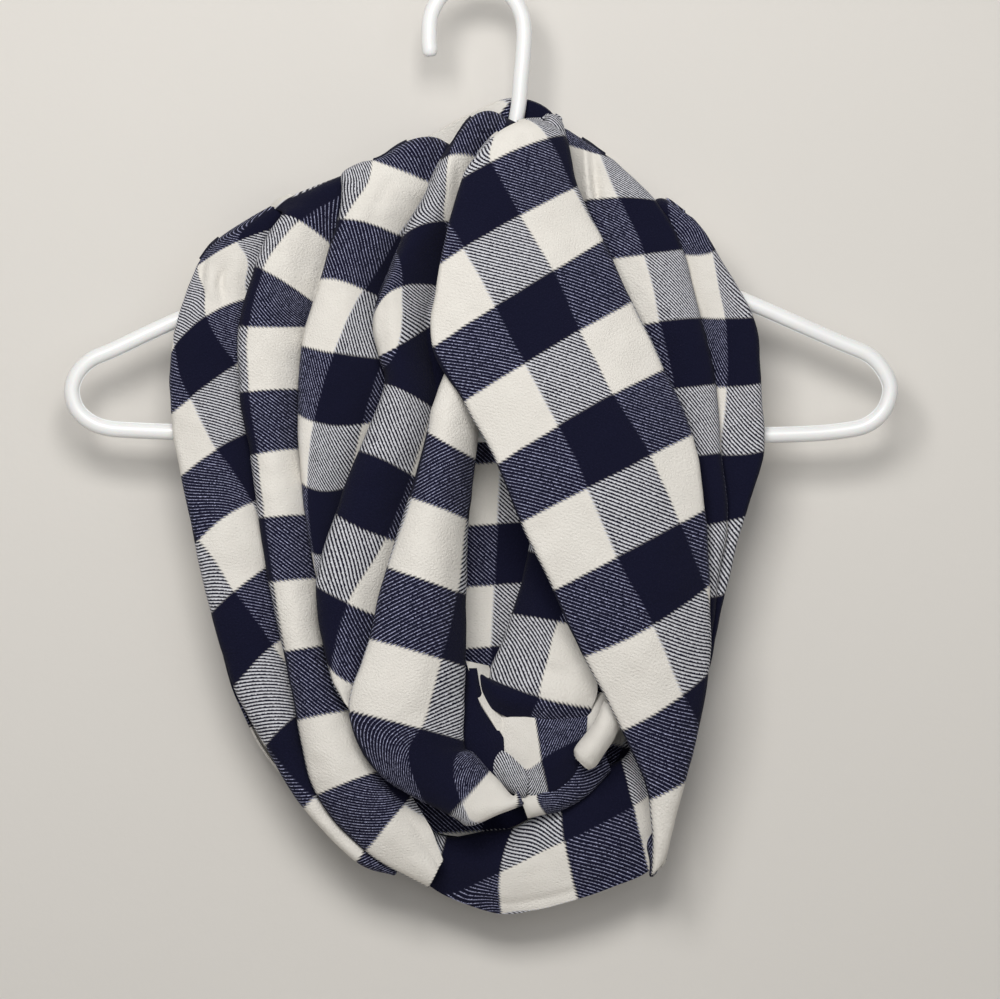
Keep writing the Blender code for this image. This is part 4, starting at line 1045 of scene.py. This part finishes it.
FRONT_BAND = (
    ((7, 93, 2, 1.6, -0.55), (18, 81, 1, 2.4, -0.55), (32, 77, 0, 3.4, -0.55)),
    ((5, 89, 14, 1.6, -0.2), (17, 76.5, 13, 2.4, -0.2), (32.5, 72.5, 9, 3.4, -0.2)),
    ((2.5, 85.3, 26, 1.6, 0.2), (16.3, 72.2, 26.5, 2.4, 0.2), (33, 68.5, 19, 3.4, 0.2)),
    ((1, 84, 34, 1.6, 0.6), (16, 71, 36, 2.4, 0.6), (33, 67, 27, 3.4, 0.6)),
    ((-7, 97, 37, 1.5, 1), (22, 81.5, 39, 2.52, 1), (44.5, 75, 28, 3.3, 1)),
    ((-18, 139, 39, 0.58, 2), (17, 118, 41, 1.81, 2), (51, 100, 28, 3.1, 2)),
    ((-21.5, 180, 40, 0, 3), (23, 151.5, 42, 1.47, 3), (63.5, 126.5, 27, 3, 3)),
    ((-6, 207, 41, 0, 4), (36, 181, 43, 1.43, 4), (77.5, 157, 27, 3, 4)),
    ((10.5, 238, 41, 0, 5), (53, 211.5, 43, 1.45, 5), (93.5, 190.5, 27, 3, 5)),
    ((22.5, 266.5, 40, 0, 6), (67, 243.5, 42, 1.38, 6), (107.5, 223, 27, 2.68, 6)),
    ((38, 300, 37, 0, 7), (79.5, 278.5, 39, 1.31, 7), (114, 260, 26, 2.4, 7)),
    ((53.5, 333, 33, 0, 8), (87.5, 317.5, 36, 1, 8), (116, 297.5, 25, 2.1, 8)),
    ((72, 369.5, 27, 0, 9), (94.5, 357.5, 30, 0.73, 9), (116, 341.5, 22, 1.45, 9)),
    ((86, 404.5, 20, 0, 10), (95.5, 400, 23, 0.3, 10), (104, 395.5, 18, 0.57, 10)),
    ((87, 441, 12, 0, 10.9), (90.5, 437.5, 14, 0.12, 10.9), (94, 433, 12, 0.22, 10.9)),
    ((87, 434, 1, 0, 11.3), (90, 431.5, 2, 0.12, 11.3), (93, 427, 0, 0.22, 11.3)),
    ((84, 422, -9, 0, 11.8), (88, 419, -8, 0.14, 11.8), (92, 414, -10, 0.26, 11.8)),
    ((81, 411, -14, 0, 12.2), (86, 408, -13, 0.16, 12.2), (91, 403, -15, 0.3, 12.2)),
)
BAND_CREASES = (
    (((20, 72), (14, 95), (20, 125)), 4, 0.8),
    (((32, 238), (36, 256), (35, 274)), 5, -1.2),
    (((66, 205), (74, 228), (78, 256)), 7, 1.0),
)
stretch("front_band", FRONT_BAND, "folded", "folded", False, BAND_CREASES)

# A short roll of cloth that closes the corner between the band's upper end and the right falls.
BAND_ROLL = (
    ((33.5, 70, 2, 1.3, 0), (37.5, 68.5, 4, 1.45, 0), (41.5, 70, 2, 1.6, 0)),
    ((33.5, 65, 10, 1.3, 0.15), (37.5, 63, 12, 1.45, 0.15), (42, 65.5, 10, 1.6, 0.15)),
    ((34.5, 68.5, 15, 1.28, 0.4), (39, 67.5, 17, 1.45, 0.4), (44, 69.5, 14, 1.62, 0.4)),
    ((36, 75, 15, 1.25, 0.6), (40.5, 75, 17, 1.45, 0.6), (45.5, 77, 14, 1.65, 0.6)),
    ((38.5, 82, 14, 1.2, 0.9), (42.5, 83, 15, 1.4, 0.9), (46.5, 84, 12, 1.6, 0.9)),
)
stretch("band_roll", BAND_ROLL, "folded", "folded", False, (),
        level_with="right_inner_fall", has_solid=False)

# ---- Room -------------------------------------------------------------------------------
# A plain painted wall close behind, a pale floor far below, and soft light from above in front.
# Behind the wall, which isn't seen from there, a further light falls on the object's back.

WALL_Y = 0.036
WALL_HALF = 2.0
WALL_TOP = 1.5
WALL_PAINT = (0.685, 0.66, 0.622, 1)
WALL_PATCH = tuple(0.97 * part for part in WALL_PAINT[:3]) + (1,)
FLOOR_Z = -1.3
FLOOR_NEAR = -3.0
BACKFACING = 6  # the output of Geometry that is 1 seen from behind


def wall_paint():
    """Matt paint laid on with a roller, which isn't seen from behind."""
    finish = Finish("wall_paint")
    place = finish.wire("ShaderNodeTexCoord", {}, {}, OBJECT_PLACE)
    roller = finish.mottle(place, 260.0, 4.0)
    finish.feed(finish.shader, {
        "Base Color": finish.mix_colours(finish.mottle(place, 5.0, 2.0), WALL_PAINT, WALL_PATCH),
        "Roughness": 0.75,
        "Specular IOR Level": 0.25,
        "Normal": finish.relief(roller, 0.12, 0.0006),
    })
    through = finish.node("ShaderNodeBsdfTransparent", {}, {})
    behind = finish.wire("ShaderNodeNewGeometry", {}, {}, BACKFACING)
    one_sided = finish.node("ShaderNodeMixShader", {}, {0: behind})
    finish.tree.links.new(finish.shader.outputs[0], one_sided.inputs[1])
    finish.tree.links.new(through.outputs[0], one_sided.inputs[2])
    output = finish.tree.nodes["Material Output"]
    finish.tree.links.new(one_sided.outputs[0], output.inputs["Surface"])
    return finish.made


def plane(name, corners, look):
    """A flat piece of the room, which isn't part of the object."""
    mesh = bpy.data.meshes.new(name)
    mesh.from_pydata(corners, [], [(0, 1, 2, 3)])
    mesh.materials.append(look)
    made = bpy.data.objects.new(name, mesh)
    bpy.context.scene.collection.objects.link(made)
    return made


def soft_light(name, place, aim, size, watts, colour):
    """A rectangle that shines from a place towards an aim."""
    lamp = bpy.data.lights.new(name, "AREA")
    lamp.shape = "RECTANGLE"
    lamp.size, lamp.size_y = size
    lamp.energy = watts
    lamp.color = colour
    made = bpy.data.objects.new(name, lamp)
    made.location = place
    made.rotation_mode = "QUATERNION"
    made.rotation_quaternion = (Vector(aim) - Vector(place)).to_track_quat("-Z", "Y")
    bpy.context.scene.collection.objects.link(made)


paint = wall_paint()
left, right = (-WALL_HALF, WALL_HALF)
skirting = [(left, WALL_Y, FLOOR_Z), (right, WALL_Y, FLOOR_Z)]
wall = plane("wall", skirting + [(right, WALL_Y, WALL_TOP), (left, WALL_Y, WALL_TOP)], paint)
wall.visible_shadow = False
plane("floor", [(left, FLOOR_NEAR, FLOOR_Z), (right, FLOOR_NEAR, FLOOR_Z)] + skirting[::-1], paint)

UPPER_MIDDLE = (0.0, 0.0, -0.2)
LOOP_MIDDLE = (0.0, 0.0, -0.25)
LIGHTS = (  # name, place, what it is aimed at, width and height, watts, colour
    ("window_light", (-0.15, -1.15, 0.35), UPPER_MIDDLE, (0.7, 0.45), 13.0, (1.0, 0.985, 0.96)),
    ("room_light", (0.3, -2.3, 0.1), LOOP_MIDDLE, (2.2, 1.6), 11.2, (0.97, 0.985, 1.0)),
    ("back_light", (0.3, 1.6, 0.5), LOOP_MIDDLE, (1.4, 1.4), 12.0, (1.0, 1.0, 1.0)),
)
for light in LIGHTS:
    soft_light(*light)

AIR_COLOUR = (0.92, 0.93, 0.95, 1)
AIR_STRENGTH = 0.21
world = bpy.data.worlds.new("room")
world.use_nodes = True
air = world.node_tree.nodes["Background"].inputs
air["Color"].default_value = AIR_COLOUR
air["Strength"].default_value = AIR_STRENGTH
bpy.context.scene.world = world

PICTURE_WIDTH = 0.500  # metres across the picture at the cloth
PICTURE_MIDDLE = (0.012, -0.255)  # x and z
CAMERA_DISTANCE = 3.0
SENSOR = 36.0

camera_data = bpy.data.cameras.new("camera")
camera_data.sensor_width = SENSOR
camera_data.lens = SENSOR * CAMERA_DISTANCE / PICTURE_WIDTH
camera = bpy.data.objects.new("camera", camera_data)
camera.location = (PICTURE_MIDDLE[0], -CAMERA_DISTANCE, PICTURE_MIDDLE[1])
camera.rotation_euler = (math.radians(90), 0, 0)
bpy.context.scene.collection.objects.link(camera)
bpy.context.scene.camera = camera
bpy.context.scene.view_settings.view_transform = "Standard"
